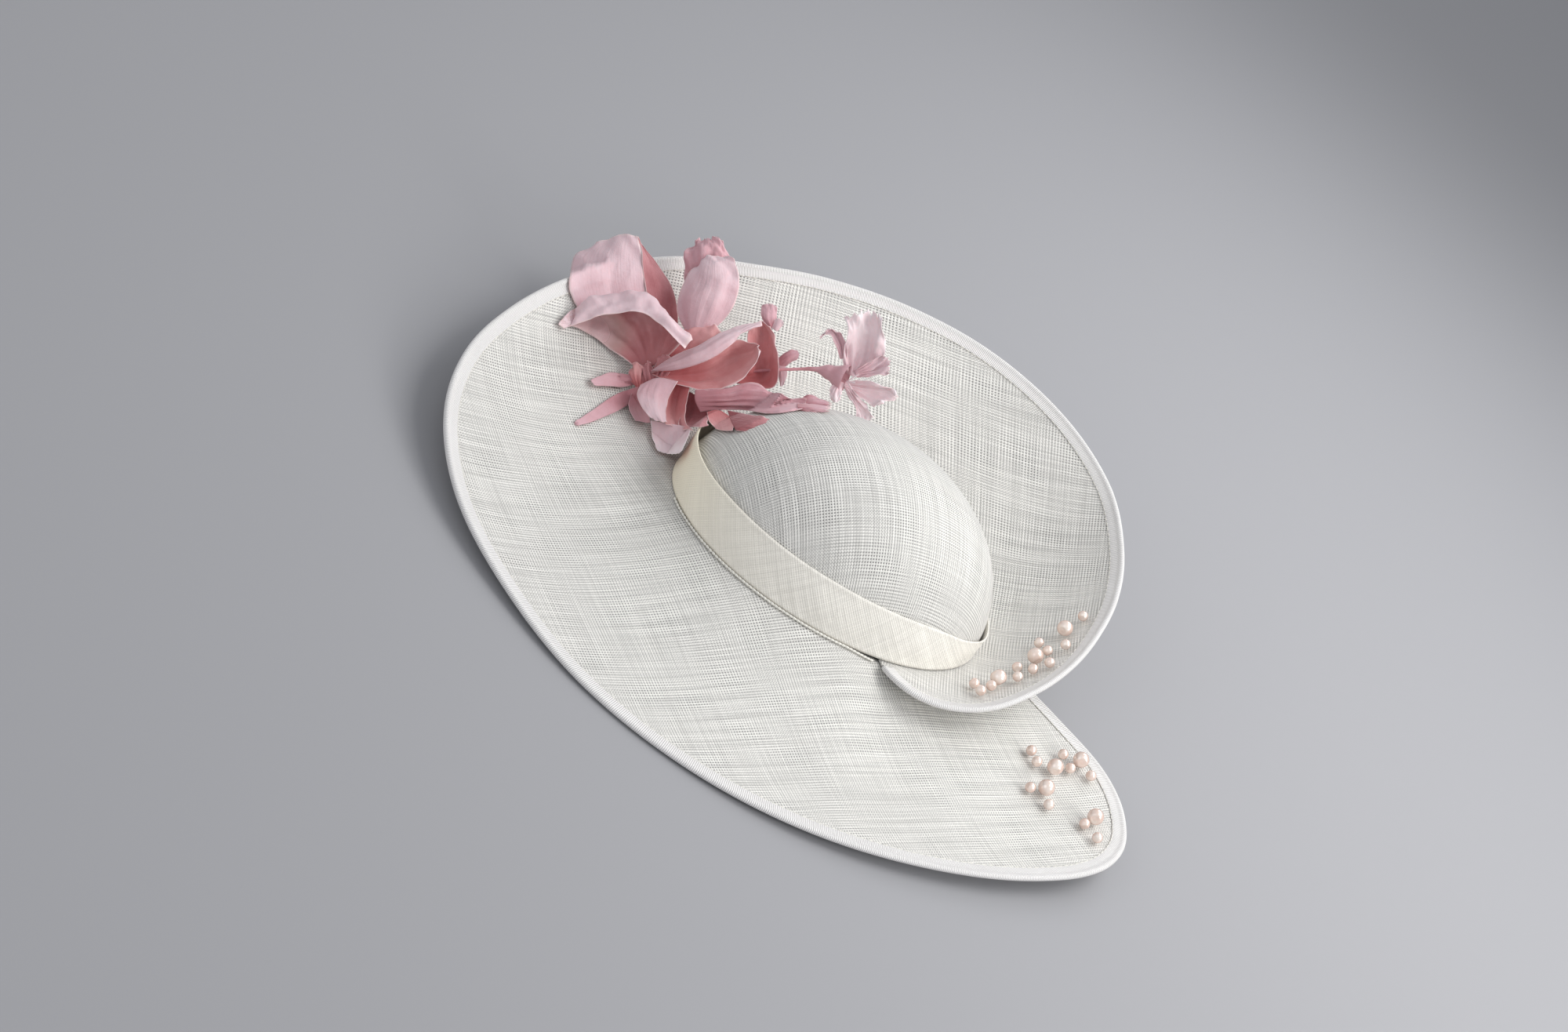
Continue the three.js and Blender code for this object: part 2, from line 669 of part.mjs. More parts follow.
/** Small blossom of loose petals at the end of its stem. */
function blossomSolid({ stem: route, petals }) {
  const { body, end } = stem(route);
  return fused([body, ball(end, KNOT_RADIUS), ...petals.map((row) => petal(end, row, SMALL_GRID))]);
}

/** Blossom whose petals open from the mouth of a trumpet. */
function trumpetSolid() {
  const { body, end } = stem(TRUMPET.stem);
  const mouth = sprayPoint(TRUMPET.mouth);
  const axis = mouth.clone().sub(end);
  const length = axis.length();
  const profile = [
    [0, 0],
    [STEM_RADIUS, 0],
    [TRUMPET_NECK.radius * TRUMPET_RADIUS, TRUMPET_NECK.along * length],
    [TRUMPET_RADIUS, length],
    [0, length],
  ];
  const horn = new THREE.LatheGeometry(profile.map(([x, y]) => new THREE.Vector2(x, y)), PEARL_SIDES);
  horn.applyQuaternion(new THREE.Quaternion().setFromUnitVectors(new THREE.Vector3(0, 1, 0), axis.normalize()));
  horn.translate(...end);
  return fused([body, solid(horn), ...TRUMPET.petals.map((row) => petal(mouth, row, SMALL_GRID))]);
}

/** Closed bud at the end of its stem. */
function budSolid() {
  const { body, end } = stem(BUD.stem);
  const centre = sprayPoint(BUD.tip);
  const neck = end.clone().lerp(centre, BUD_NECK.along);
  return fused([body, ball(neck, BUD_NECK.radius * BUD_RADIUS), ball(centre, BUD_RADIUS)]);
}

/** Standard material of one finish. */
function finish(color, roughness) {
  return new THREE.MeshStandardMaterial({ color, roughness, metalness: 0 });
}

const SINAMAY = finish(0xece8da, 0.85);
const RIBBON = finish(0xf2eee4, 0.6);
const BAND_CLOTH = finish(0xf0e4cd, 0.9);
const PEARL_LUSTRE = finish(0xf0cdbd, 0.25);
const SILK = finish(0xc98f98, 0.8);

const hat = new THREE.Group();

/** Adds a named piece to the hat. */
function add(name, geometry, material) {
  const mesh = new THREE.Mesh(geometry, material);
  mesh.name = name;
  hat.add(mesh);
  return mesh;
}

add('crown', crownSolid(), SINAMAY);
add('brim', brimSolid(), SINAMAY);
add('edge_binding', bindingSolid(), RIBBON);
add('crown_band', bandSolid(), BAND_CLOTH);
PEARLS.forEach((row, index) => {
  const { geometry, place } = pearl(row);
  add(`pearl_${String(index + 1).padStart(2, '0')}`, geometry, PEARL_LUSTRE).position.copy(place);
});
add('large_flower', largeFlowerSolid(), SILK);
add('narrow_leaves', leavesSolid(), SILK);
add('upper_blossom', blossomSolid(UPPER_BLOSSOM), SILK);
add('lower_blossom', blossomSolid(LOWER_BLOSSOM), SILK);
add('trumpet_blossom', trumpetSolid(), SILK);
add('flower_bud', budSolid(), SILK);

/** Corners of all pieces, and the middle of their volume. */
function bulk(group) {
  group.updateMatrixWorld(true);
  const corners = [];
  const middle = new THREE.Vector3();
  let volume = 0;
  for (const { geometry, matrixWorld } of group.children) {
    const places = geometry.attributes.position;
    const points = Array.from({ length: places.count }, (_, at) => {
      return new THREE.Vector3().fromBufferAttribute(places, at).applyMatrix4(matrixWorld);
    });
    for (let at = 0; at < geometry.index.count; at += 3) {
      const [a, b, c] = [0, 1, 2].map((step) => points[geometry.index.getX(at + step)]);
      const share = a.dot(b.clone().cross(c));
      volume += share;
      middle.addScaledVector(a.clone().add(b).add(c), share / 4);
    }
    corners.push(...points);
  }
  return { corners, middle: middle.divideScalar(volume) };
}

/** Whether a body with this middle stays standing on a face of its hull. */
function standsOn({ edge: first, normal }, middle) {
  let edge = first;
  do {
    const from = edge.tail().point;
    const side = edge.head().point.clone().sub(from);
    if (side.cross(middle.clone().sub(from)).dot(normal) < 0) {
      return false;
    }
    edge = edge.next;
  } while (edge !== first);
  return true;
}

/** Tilts and lowers the hat until it lies by itself on a surface at z = 0. */
function restOnSurface(group) {
  const { corners, middle } = bulk(group);
  const faces = new ConvexHull().setFromPoints(corners).faces.filter((face) => face.normal.z < 0);
  const support = faces.find((face) => standsOn(face, middle));
  group.quaternion.setFromUnitVectors(support.normal, new THREE.Vector3(0, 0, -1));
  const box = new THREE.Box3().setFromObject(group, true);
  const centre = box.getCenter(new THREE.Vector3());
  group.position.set(-centre.x, -centre.y, -box.min.z);
}

restOnSurface(hat);

const object = new THREE.Group();
object.add(hat);
export default object;
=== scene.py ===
# %% [markdown]
# # A wide-brim hat of sinamay, with pearls and silk flowers
#
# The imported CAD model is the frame: it says where everything is and how large it is.
# Each cell below dresses one piece of it. The cloth is rebuilt as fine sheets on the same
# form, because a faceted solid can't carry a smooth blocked surface.

# %% Load the frame
import functools
import math
import random

import bmesh
import bpy
from mathutils import Matrix, Vector, noise


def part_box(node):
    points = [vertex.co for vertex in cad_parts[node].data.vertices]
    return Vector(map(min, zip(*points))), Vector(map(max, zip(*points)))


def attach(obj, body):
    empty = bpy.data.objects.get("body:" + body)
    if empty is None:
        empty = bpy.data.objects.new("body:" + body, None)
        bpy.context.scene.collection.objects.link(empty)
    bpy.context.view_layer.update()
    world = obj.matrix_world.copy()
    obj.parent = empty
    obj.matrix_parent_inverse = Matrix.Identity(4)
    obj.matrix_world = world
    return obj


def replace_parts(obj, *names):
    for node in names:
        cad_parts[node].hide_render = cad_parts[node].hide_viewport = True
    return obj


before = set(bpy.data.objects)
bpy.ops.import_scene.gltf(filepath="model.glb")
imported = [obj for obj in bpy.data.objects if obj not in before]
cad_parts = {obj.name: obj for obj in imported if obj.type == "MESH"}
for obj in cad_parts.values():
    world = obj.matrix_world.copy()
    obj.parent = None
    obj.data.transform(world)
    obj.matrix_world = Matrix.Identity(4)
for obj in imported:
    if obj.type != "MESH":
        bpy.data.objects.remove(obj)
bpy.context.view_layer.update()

# %% [markdown]
# ## The hat's own frame
#
# The hat lies tilted on the table, but its form is far simpler to say with the crown upright.
# The lower edge of the CAD crown is flat. Its middle and its normal give the turn and the place
# that take the upright hat to the lying one. Everything is shaped upright and then laid down.

# %% From the upright hat to the lying one
MM = 0.001
crown_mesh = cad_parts["crown"].data
crown_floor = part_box("crown")[0].z + 0.03
edge_faces = [p for p in crown_mesh.polygons if p.normal.z < -0.9 and p.center.z < crown_floor]
edge_area = sum(p.area for p in edge_faces)
edge_middle = sum((p.area * p.center for p in edge_faces), Vector()) / edge_area
edge_normal = -sum((p.area * p.normal for p in edge_faces), Vector()).normalized()
tilted = Vector((0, 0, 1)).rotation_difference(edge_normal)
LIE = Matrix.Translation(edge_middle) @ tilted.to_matrix().to_4x4()
LIE_DOWN = LIE @ Matrix.Diagonal((MM, MM, MM, 1))
print("tilt", round(math.degrees(edge_normal.angle(Vector((0, 0, 1)))), 2), "degrees, at", edge_middle)

# %% [markdown]
# ## Camera
#
# The photo was taken from above the wearer's left side, with the camera turned about its own
# axis. A 60 mm lens from 1.5 m away gives the same foreshortening of crown and brim. The camera
# is aimed so that the middle of the crown's foot falls on the same place of the picture.

# %% Place the camera
PICTURE = (2000, 1316)
LENS = 60
SENSOR = 36
CAMERA_AZIMUTH = math.radians(75)
CAMERA_HEIGHT = math.radians(25)
CAMERA_ROLL = math.radians(35)
CAMERA_DISTANCE = 1503 * MM
FOOT_AT = (1055, 709.6)

away = Vector((
    math.sin(CAMERA_AZIMUTH) * math.cos(CAMERA_HEIGHT),
    -math.cos(CAMERA_AZIMUTH) * math.cos(CAMERA_HEIGHT),
    math.sin(CAMERA_HEIGHT),
))
level = Vector((0, 0, 1)).cross(away).normalized()
upright = away.cross(level)
right = level * math.cos(CAMERA_ROLL) + upright * math.sin(CAMERA_ROLL)
up = away.cross(right)
facing = LIE.to_3x3() @ Matrix((right, up, away)).transposed()
focal = PICTURE[0] * LENS / SENSOR
towards_foot = Vector((FOOT_AT[0] - PICTURE[0] / 2, PICTURE[1] / 2 - FOOT_AT[1], -focal))
aim = (-towards_foot).rotation_difference(Vector((0, 0, 1))).to_matrix()

camera = bpy.data.objects.new("camera", bpy.data.cameras.new("camera"))
bpy.context.collection.objects.link(camera)
camera.data.lens = LENS
camera.data.sensor_width = SENSOR
camera.matrix_world = Matrix.Translation(LIE @ (away * CAMERA_DISTANCE)) @ (facing @ aim).to_4x4()
bpy.context.scene.camera = camera
print("camera at", [round(c, 3) for c in camera.location])

# %% [markdown]
# ## Floor and light
#
# A plain floor stands in for the grey studio wall. The strongest soft light comes from the right
# of the picture and a little above, as the bright spots on the pearls and the shadows to their
# left show. One behind it and higher grazes the weave, and a small one lower and nearer the
# camera catches the binding. A broad one from the camera's side lifts the shadows.

# %% Make the floor
def deselect_all():
    if bpy.context.object and bpy.context.object.mode != "OBJECT":
        bpy.ops.object.mode_set(mode="OBJECT")
    bpy.ops.object.select_all(action="DESELECT")


def shader_of(material):
    return material.node_tree.nodes["Principled BSDF"]


def new_material(name, colour, roughness):
    material = bpy.data.materials.new(name)
    material.use_nodes = True
    shader_of(material).inputs["Base Color"].default_value = (*colour, 1)
    shader_of(material).inputs["Roughness"].default_value = roughness
    return material


FLOOR_SIZE = 24
FLOOR_GREY = (0.345, 0.345, 0.359)

deselect_all()
bpy.ops.mesh.primitive_plane_add(size=FLOOR_SIZE)
floor = bpy.context.object
floor.name = "floor"
floor.data.materials.append(new_material("pale_floor", FLOOR_GREY, 0.9))

# %% Make the lights
LIGHTS = [  # name, direction, distance, size, power, colour
    ("key_light", (1.0, 0.35, 0.35), 1.2, 0.8, 8.5, (1, 0.995, 0.985)),
    ("back_light", (0.7, 0.6, -0.25), 1.2, 0.6, 3.2, (0.98, 0.985, 1)),
    ("edge_light", (0.85, -0.3, 0.5), 1.4, 0.4, 5, (1, 0.99, 0.975)),
    ("fill_light", (-0.4, 0.3, 0.9), 2.4, 1.6, 7, (0.97, 0.98, 1)),
]
STUDIO_COLOUR, STUDIO_STRENGTH = (0.93, 0.95, 1, 1), 0.54


def soft_light(name, direction, distance, size, power, colour):
    """Square area light seen from the hat in a direction given as right, up and towards the camera."""
    lamp = bpy.data.lights.new(name, "AREA")
    lamp.size = size
    lamp.energy = power
    lamp.color = colour
    light = bpy.data.objects.new(name, lamp)
    bpy.context.collection.objects.link(light)
    towards = facing @ Vector(direction).normalized()
    light.location = LIE.translation + towards * distance
    light.rotation_euler = towards.to_track_quat("Z", "Y").to_euler()


for row in LIGHTS:
    soft_light(*row)
world = bpy.data.worlds.new("studio")
world.use_nodes = True
world.node_tree.nodes["Background"].inputs["Color"].default_value = STUDIO_COLOUR
world.node_tree.nodes["Background"].inputs["Strength"].default_value = STUDIO_STRENGTH
bpy.context.scene.world = world
bpy.context.scene.view_settings.view_transform = "Standard"
print(len(LIGHTS), "lights")

# %% [markdown]
# ## The form of the hat
#
# These are the same sizes and shares that the CAD model is made from. The brim is one sheet
# whose width, rise and hollow change with the turn round the crown, counted in degrees from the
# wearer's left over the back. Past 360 degrees it lies under its own start.

# %% Sizes of the hat, in millimetres
CROWN_LENGTH, CROWN_WIDTH, CROWN_HEIGHT = 202, 172, 80
BRIM_WIDTH, BRIM_RISE, LEDGE_WIDTH = 148, 85, 2
LEDGE_HEIGHT, LAP_HEIGHT = -1.41, -3.31
BAND_HEIGHT, BAND_STANDOFF = 28, 6
LAP_ENDS = (368, 384)

SECTIONS = [  # turn, width, rise, hollow
    (20, 0.3, 0.055, 0.02), (33, 0.3, 0.065, 0.03), (47, 0.3, 0.135, 0.07),
    (61, 0.31, 0.247, 0.1), (75, 0.338, 0.365, 0.11), (88, 0.39, 0.475, 0.11),
    (100, 0.472, 0.588, 0.11), (115, 0.6, 0.725, 0.11), (130, 0.73, 0.862, 0.1),
    (145, 0.79, 0.963, 0.09), (162, 0.81, 1, 0.09), (178, 0.785, 0.968, 0.09),
    (195, 0.753, 0.884, 0.09), (208, 0.742, 0.79, 0.09), (225, 0.772, 0.65, 0.09),
    (245, 0.81, 0.422, 0.09), (258, 0.857, 0.255, 0.08), (270, 0.915, 0.085, 0.08),
    (282, 0.945, -0.08, 0.07), (296, 0.938, -0.24, 0.07), (312, 0.905, -0.362, 0.06),
    (328, 0.895, -0.437, 0.06), (345, 0.885, -0.455, 0.06), (362, 0.89, -0.422, 0.06),
    (383, 0.91, -0.335, 0.06), (400, 0.955, -0.237, 0.05), (410, 0.985, -0.158, 0.05),
    (420, 0.99, -0.07, 0.05), (430, 1, 0.03, 0.04), (440, 1, 0.1, 0.04), (452, 1, 0.14, 0.04),
]
FIRST_CUT = [(24.5, 0.16), (25.2, 0.31), (27.7, 0.57), (32.6, 0.78), (39.5, 0.92)]
LAST_CUT = [
    (407, 1), (412, 0.99), (417, 0.957), (421, 0.9), (426, 0.795), (431, 0.65),
    (437, 0.425), (442, 0.27), (447, 0.15),
]
BAND_SECTIONS = [  # turn, height, standoff
    (-20, 1, 0.05), (0, 1, 0), (30, 0.95, 0), (45, 0.86, 0), (60, 0.66, 0), (76, 0.5, 0.3),
    (90, 0.5, 0.1), (130, 0.6, 0), (180, 0.75, 0), (230, 0.9, 0.3), (258, 1, 1), (285, 1, 1),
    (308, 1, 0.3), (340, 1, 0.05), (360, 1, 0), (390, 0.95, 0),
]


# %% Smooth curves through the rows of a table
def smooth(rows, column, turn):
    last = len(rows) - 2
    at = next((i - 1 for i, row in enumerate(rows) if row[0] > turn), last)
    at = max(at, 0)

    def slope(i):
        before, after = rows[max(i - 1, 0)], rows[min(i + 1, last + 1)]
        return (after[column] - before[column]) / (after[0] - before[0])

    start, end = rows[at], rows[at + 1]
    length = end[0] - start[0]
    t = (turn - start[0]) / length
    hold = (1 + 2 * t) * (1 - t) ** 2 * start[column] + t * t * (3 - 2 * t) * end[column]
    lean = t * (1 - t) ** 2 * slope(at) - t * t * (1 - t) * slope(at + 1)
    return hold + length * lean


def eased(value, low, high):
    t = min(max((value - low) / (high - low), 0), 1)
    return t * t * (3 - 2 * t)


def around(turn, radius, height):
    angle = math.radians(turn)
    return Vector((radius * math.cos(angle), radius * math.sin(angle), height))


def headline(turn):
    angle = math.radians(turn)
    return 1 / math.hypot(math.cos(angle) / (CROWN_WIDTH / 2), math.sin(angle) / (CROWN_LENGTH / 2))


def brim_width(turn):
    return BRIM_WIDTH * smooth(SECTIONS, 1, turn)


def brim_height(turn, out):
    root = LEDGE_HEIGHT + (LAP_HEIGHT - LEDGE_HEIGHT) * eased(turn, *LAP_ENDS)
    span = brim_width(turn) - LEDGE_WIDTH
    share = max(out - LEDGE_WIDTH, 0) / span
    rise = BRIM_RISE * smooth(SECTIONS, 2, turn)
    sag = span * smooth(SECTIONS, 3, turn) * 4 * share * (1 - share)
    return root + (rise - root) * share - sag


def brim_point(turn, out):
    return around(turn, headline(turn) + out, brim_height(turn, out))


def brim_normal(turn, out):
    outwards = brim_point(turn, out + 0.05) - brim_point(turn, out)
    onwards = brim_point(turn + 0.05, out) - brim_point(turn - 0.05, out)
    return outwards.cross(onwards).normalized()


# %% [markdown]
# The edge of the brim goes once round and turns in at both ends. It is a smooth curve on the
# sheet laid out flat, through one point for each section and each row of the two cuts. Even
# steps along it carry the edges of the sheet, the binding and the stitches.

# %% Walk along the brim edge
DEGREE = math.radians(CROWN_WIDTH / 2 + BRIM_WIDTH)


def curve_point(points, at):
    """Centripetal Catmull-Rom curve through flat points."""
    index = min(int(at), len(points) - 2)
    t = at - index
    p1, p2 = points[index], points[index + 1]
    p0 = points[index - 1] if index > 0 else 2 * p1 - p2
    p3 = points[index + 2] if index + 2 < len(points) else 2 * p2 - p1
    d0, d1, d2 = (max((b - a).length, 1e-6) ** 0.5 for a, b in ((p0, p1), (p1, p2), (p2, p3)))
    m1 = ((p1 - p0) / d0 - (p2 - p0) / (d0 + d1) + (p2 - p1) / d1) * d1
    m2 = ((p2 - p1) / d1 - (p3 - p1) / (d1 + d2) + (p3 - p2) / d2) * d1
    c2 = -3 * p1 + 3 * p2 - 2 * m1 - m2
    c3 = 2 * p1 - 2 * p2 + m1 + m2
    return p1 + m1 * t + c2 * t * t + c3 * t ** 3


EDGE_STATIONS, EDGE_SAMPLES = 620, 4000
whole = [(row[0], 1) for row in SECTIONS if FIRST_CUT[-1][0] < row[0] < LAST_CUT[0][0]]
plan = [Vector((turn * DEGREE, share * brim_width(turn))) for turn, share in FIRST_CUT + whole + LAST_CUT]
raw = []
for sample in range(EDGE_SAMPLES + 1):
    spot = curve_point(plan, sample / EDGE_SAMPLES * (len(plan) - 1))
    raw.append((spot.x / DEGREE, spot.y, brim_point(spot.x / DEGREE, spot.y)))
walked = [0.0]
for before, after in zip(raw, raw[1:]):
    walked.append(walked[-1] + (after[2] - before[2]).length)
EDGE_LENGTH = walked[-1]


def edge_at(length):
    """Turn, distance out, place and direction at a length along the brim edge."""
    low, high = 0, len(walked) - 1
    length = min(max(length, 0), EDGE_LENGTH)
    while high - low > 1:
        middle = (low + high) // 2
        low, high = (middle, high) if walked[middle] <= length else (low, middle)
    t = (length - walked[low]) / max(walked[high] - walked[low], 1e-9)
    turn = raw[low][0] + t * (raw[high][0] - raw[low][0])
    out = raw[low][1] + t * (raw[high][1] - raw[low][1])
    behind, ahead = raw[max(low - 3, 0)][2], raw[min(high + 3, len(raw) - 1)][2]
    return turn, out, brim_point(turn, out), (ahead - behind).normalized()


def edge_point(station, inwards, raised):
    """Point at a distance in from the brim edge, raised off the middle of the sheet."""
    turn, out, place, along = station
    normal = brim_normal(turn, out)
    inside = -along.cross(normal).normalized()
    if inwards <= 0:
        return place + inside * inwards + normal * raised
    moved = place + inside * inwards
    angle = math.degrees(math.atan2(moved.y, moved.x))
    near = angle + 360 * round((turn - angle) / 360)
    near_out = math.hypot(moved.x, moved.y) - headline(near)
    return brim_point(near, near_out) + brim_normal(near, near_out) * raised


print("brim edge", round(EDGE_LENGTH), "mm long")

# %% [markdown]
# ## How a sheet is made
#
# A grid is the natural start for cloth: it is added flat, and each of its corners is moved to
# the place on the form that belongs to it, as if the cloth were pulled over a block. The grid's
# own squares become the piece's UV map, in metres along the threads, so that a weave drawn on
# the map follows the cloth. Solidify then gives the cloth its thickness.

# %% Make a sheet from a grid
def sheet(name, columns, rows, place, threads, material, wall=0.0, closed=False, attributes=None):
    """Cloth over a form: place and threads take u and v from 0 to 1 and give millimetres."""
    deselect_all()
    bpy.ops.mesh.primitive_grid_add(x_subdivisions=columns, y_subdivisions=rows, size=1)
    piece = bpy.context.object
    piece.name = piece.data.name = name
    mesh = piece.data
    flat = [(vertex.co.x + 0.5, vertex.co.y + 0.5) for vertex in mesh.vertices]
    for vertex, (u, v) in zip(mesh.vertices, flat):
        vertex.co = LIE_DOWN @ place(u, v)
    uv = mesh.uv_layers[0].data
    spread = [threads(u, v) for u, v in flat]
    for loop in mesh.loops:
        uv[loop.index].uv = [part * MM for part in spread[loop.vertex_index]]
    for key, value in (attributes or {}).items():
        layer = mesh.attributes.new(key, "FLOAT", "POINT")
        for index, (u, v) in enumerate(flat):
            layer.data[index].value = value(u, v)
    mesh.materials.append(material)
    if closed:
        merge(piece)
    if wall:
        solidify(piece, wall)
    bpy.ops.object.shade_smooth()
    return piece


def activate(piece):
    deselect_all()
    piece.select_set(True)
    bpy.context.view_layer.objects.active = piece


def merge(piece, distance=1e-5):
    activate(piece)
    bpy.ops.object.mode_set(mode="EDIT")
    bpy.ops.mesh.select_all(action="SELECT")
    bpy.ops.mesh.remove_doubles(threshold=distance)
    bpy.ops.object.mode_set(mode="OBJECT")


def apply_modifier(piece, kind, **settings):
    activate(piece)
    modifier = piece.modifiers.new(kind.title(), kind)
    for key, value in settings.items():
        setattr(modifier, key, value)
    bpy.ops.object.modifier_apply(modifier=modifier.name)


def solidify(piece, wall):
    """Closed wall of a thickness in millimetres, half on each side of the sheet."""
    apply_modifier(piece, "SOLIDIFY", thickness=wall * MM, offset=0, use_even_offset=False)


# %% [markdown]
# ## Finish: open straw weave
#
# Sinamay is an open plain weave of stiff banana fibre, and this hat has two layers of it. Their
# threads lie 1.75 mm apart. Where the holes of the two layers meet, the cloth turns into a fine
# dark grid, and where they miss each other it looks closed: soft clouds that wander over the
# brim. The holes are partly see-through and partly painted a dark colour: painted shade that
# stands in for the shade seen through them. Each thread is also a little thicker or thinner than
# the next. One node group draws both layers and gives out a mask of the holes, the tone of the
# threads and a height for the bump.

# %% A helper for node trees
class Wiring:
    """Adds nodes to a tree and links them by socket."""

    def __init__(self, tree):
        self.tree = tree

    def node(self, kind, values=(), **settings):
        made = self.tree.nodes.new(kind)
        for key, value in settings.items():
            setattr(made, key, value)
        for socket, value in dict(values).items():
            self.feed(made.inputs[socket], value)
        return made

    def feed(self, socket, value):
        if isinstance(value, bpy.types.NodeSocket):
            self.tree.links.new(value, socket)
        else:
            socket.default_value = value

    def maths(self, operation, *values):
        return self.node("ShaderNodeMath", dict(enumerate(values)), operation=operation).outputs[0]

    def ramp(self, value, low, high, to_low=0.0, to_high=1.0):
        made = self.node("ShaderNodeMapRange", {
            "Value": value, "From Min": low, "From Max": high, "To Min": to_low, "To Max": to_high,
        }, interpolation_type="SMOOTHSTEP")
        return made.outputs["Result"]

    def noise(self, vector, scale, detail=2.0, roughness=0.5):
        made = self.node("ShaderNodeTexNoise", {
            "Vector": vector, "Scale": scale, "Detail": detail, "Roughness": roughness,
        })
        return made.outputs["Fac"]

    def stretched(self, vector, factors):
        return self.node("ShaderNodeVectorMath", {0: vector, 1: factors}, operation="MULTIPLY").outputs[0]

    def attribute(self, name):
        return self.node("ShaderNodeAttribute", attribute_name=name).outputs["Fac"]

    def mix(self, share, first, second):
        made = self.node("ShaderNodeMix", data_type="RGBA")
        self.feed(made.inputs[0], share)
        self.feed(made.inputs[6], first)
        self.feed(made.inputs[7], second)
        return made.outputs[2]


def new_group(name, inputs, outputs):
    tree = bpy.data.node_groups.new(name, "ShaderNodeTree")
    for label, kind, default in inputs:
        socket = tree.interface.new_socket(label, in_out="INPUT", socket_type=kind)
        if default is not None:
            socket.default_value = default
    for label, kind in outputs:
        tree.interface.new_socket(label, in_out="OUTPUT", socket_type=kind)
    wiring = Wiring(tree)
    return tree, wiring, wiring.node("NodeGroupInput"), wiring.node("NodeGroupOutput")


# %% Build the weave group
THREAD_PITCH = 0.00175


def weave_group():
    tree, w, into, out = new_group(
        "straw_weave",
        [
            ("Vector", "NodeSocketVector", None),
            ("Pitch", "NodeSocketFloat", THREAD_PITCH),
            ("Openness", "NodeSocketFloat", 0.5),
            ("Second Turn", "NodeSocketFloat", 0.03),
        ],
        [("Holes", "NodeSocketFloat"), ("Tone", "NodeSocketFloat"), ("Height", "NodeSocketFloat")],
    )
    count = w.maths("DIVIDE", 1.0, into.outputs["Pitch"])
    drift = w.noise(into.outputs["Vector"], 9.0, 2.0)
    layers = []
    for index, (scale, slip) in enumerate(((1.0, 0.0), (1.03, 0.37))):
        turned = w.node("ShaderNodeVectorRotate", {
            "Vector": into.outputs["Vector"],
            "Angle": 0.0 if index == 0 else into.outputs["Second Turn"],
        }, rotation_type="Z_AXIS").outputs[0]
        split = w.node("ShaderNodeSeparateXYZ", {0: turned})
        bands = []
        for axis in (0, 1):
            run = w.maths("MULTIPLY", split.outputs[axis], w.maths("MULTIPLY", count, scale))
            wander = w.maths("MULTIPLY", drift, 2.2 if index else -1.4)
            phase = w.maths("MULTIPLY", w.maths("ADD", w.maths("ADD", run, slip), wander), 2 * math.pi)
            bands.append(w.maths("ADD", w.maths("MULTIPLY", w.maths("COSINE", phase), 0.5), 0.5))
        layers.append(bands)
    gaps = [w.ramp(w.maths("MULTIPLY", *bands), 0.22, 0.7) for bands in layers]
    through = w.maths("MULTIPLY", gaps[0], gaps[1])
    single = w.maths("MULTIPLY", w.maths("MAXIMUM", gaps[0], gaps[1]), 0.32)
    opened = w.maths("MULTIPLY", w.maths("MAXIMUM", through, single), into.outputs["Openness"])
    threads = []
    for across, along in ((760.0, 11.0), (11.0, 760.0)):
        stretched = w.stretched(into.outputs["Vector"], (across, along, 1.0))
        threads.append(w.noise(stretched, 1.0, 2.0, 0.6))
    tone = w.maths("ADD", w.maths("MULTIPLY", threads[0], 0.62), w.maths("MULTIPLY", threads[1], 0.38))
    height = w.maths("SUBTRACT", 1.0, w.maths("ADD", w.maths("MULTIPLY", layers[0][0], 0.5),
                                             w.maths("MULTIPLY", layers[0][1], 0.5)))
    w.feed(out.inputs["Holes"], opened)
    w.feed(out.inputs["Tone"], tone)
    w.feed(out.inputs["Height"], height)
    return tree


WEAVE = weave_group()


# %% Cloth of open weave in one tone
def weave_material(name, thread, hole_shade, openness, second_turn, see_through, pitch=THREAD_PITCH, tint=None,
                   streaks=0.75):
    """Open weave with painted shade in the holes, darker streaks in its tone, and a tint that an attribute
    places.
    """
    material = new_material(name, thread, 0.62)
    w = Wiring(material.node_tree)
    shader = shader_of(material)
    spread = w.node("ShaderNodeUVMap").outputs["UV"]
    weave = w.node("ShaderNodeGroup", node_tree=WEAVE)
    w.feed(weave.inputs["Vector"], spread)
    w.feed(weave.inputs["Pitch"], pitch)
    w.feed(weave.inputs["Openness"], openness)
    w.feed(weave.inputs["Second Turn"], second_turn)
    tone = w.ramp(weave.outputs["Tone"], 0.38, 0.62)
    darker = tuple(c * streaks for c in thread)
    base = w.mix(tone, (*darker, 1), (*thread, 1))
    if tint:
        place, colour = tint
        base = w.mix(w.attribute(place), base, (*colour, 1))
    # Painted shade: the holes are mixed to a dark colour that stands in for the shade seen through them.
    w.feed(shader.inputs["Base Color"], w.mix(weave.outputs["Holes"], base, (*hole_shade, 1)))
    through = w.maths("MULTIPLY", weave.outputs["Holes"], see_through)
    w.feed(shader.inputs["Alpha"], w.maths("SUBTRACT", 1.0, through))
    bump = w.node("ShaderNodeBump", {"Height": weave.outputs["Height"], "Distance": 0.0003, "Strength": 0.7})
    w.feed(shader.inputs["Normal"], bump.outputs[0])
    shader.inputs["Sheen Weight"].default_value = 0.15
    shader.inputs["Sheen Roughness"].default_value = 0.4
    return material


IVORY = (0.84, 0.822, 0.778)
# Dark painted shade for the holes of the brim and crown, in place of the shade seen through them.
SINAMAY_HOLE_SHADE = (0.16, 0.16, 0.155)
SINAMAY_WALL = 1.0
SINAMAY = weave_material("ivory_sinamay", IVORY, SINAMAY_HOLE_SHADE, openness=1.0, second_turn=0.035,
                         see_through=0.5)

# %% [markdown]
# ## Crown
#
# The crown is one piece of sinamay steamed over an oval block: half of a sphere, stretched to
# the head's oval. A UV sphere is scaled to that oval and cut through its middle. The weave map
# measures each corner's way down from the top, so that the threads keep their distance on the
# steep sides. The cloth was blocked on the bias, so its threads cross the hat at an angle.

# %% Block the crown
CROWN_GRAIN = math.radians(-67)


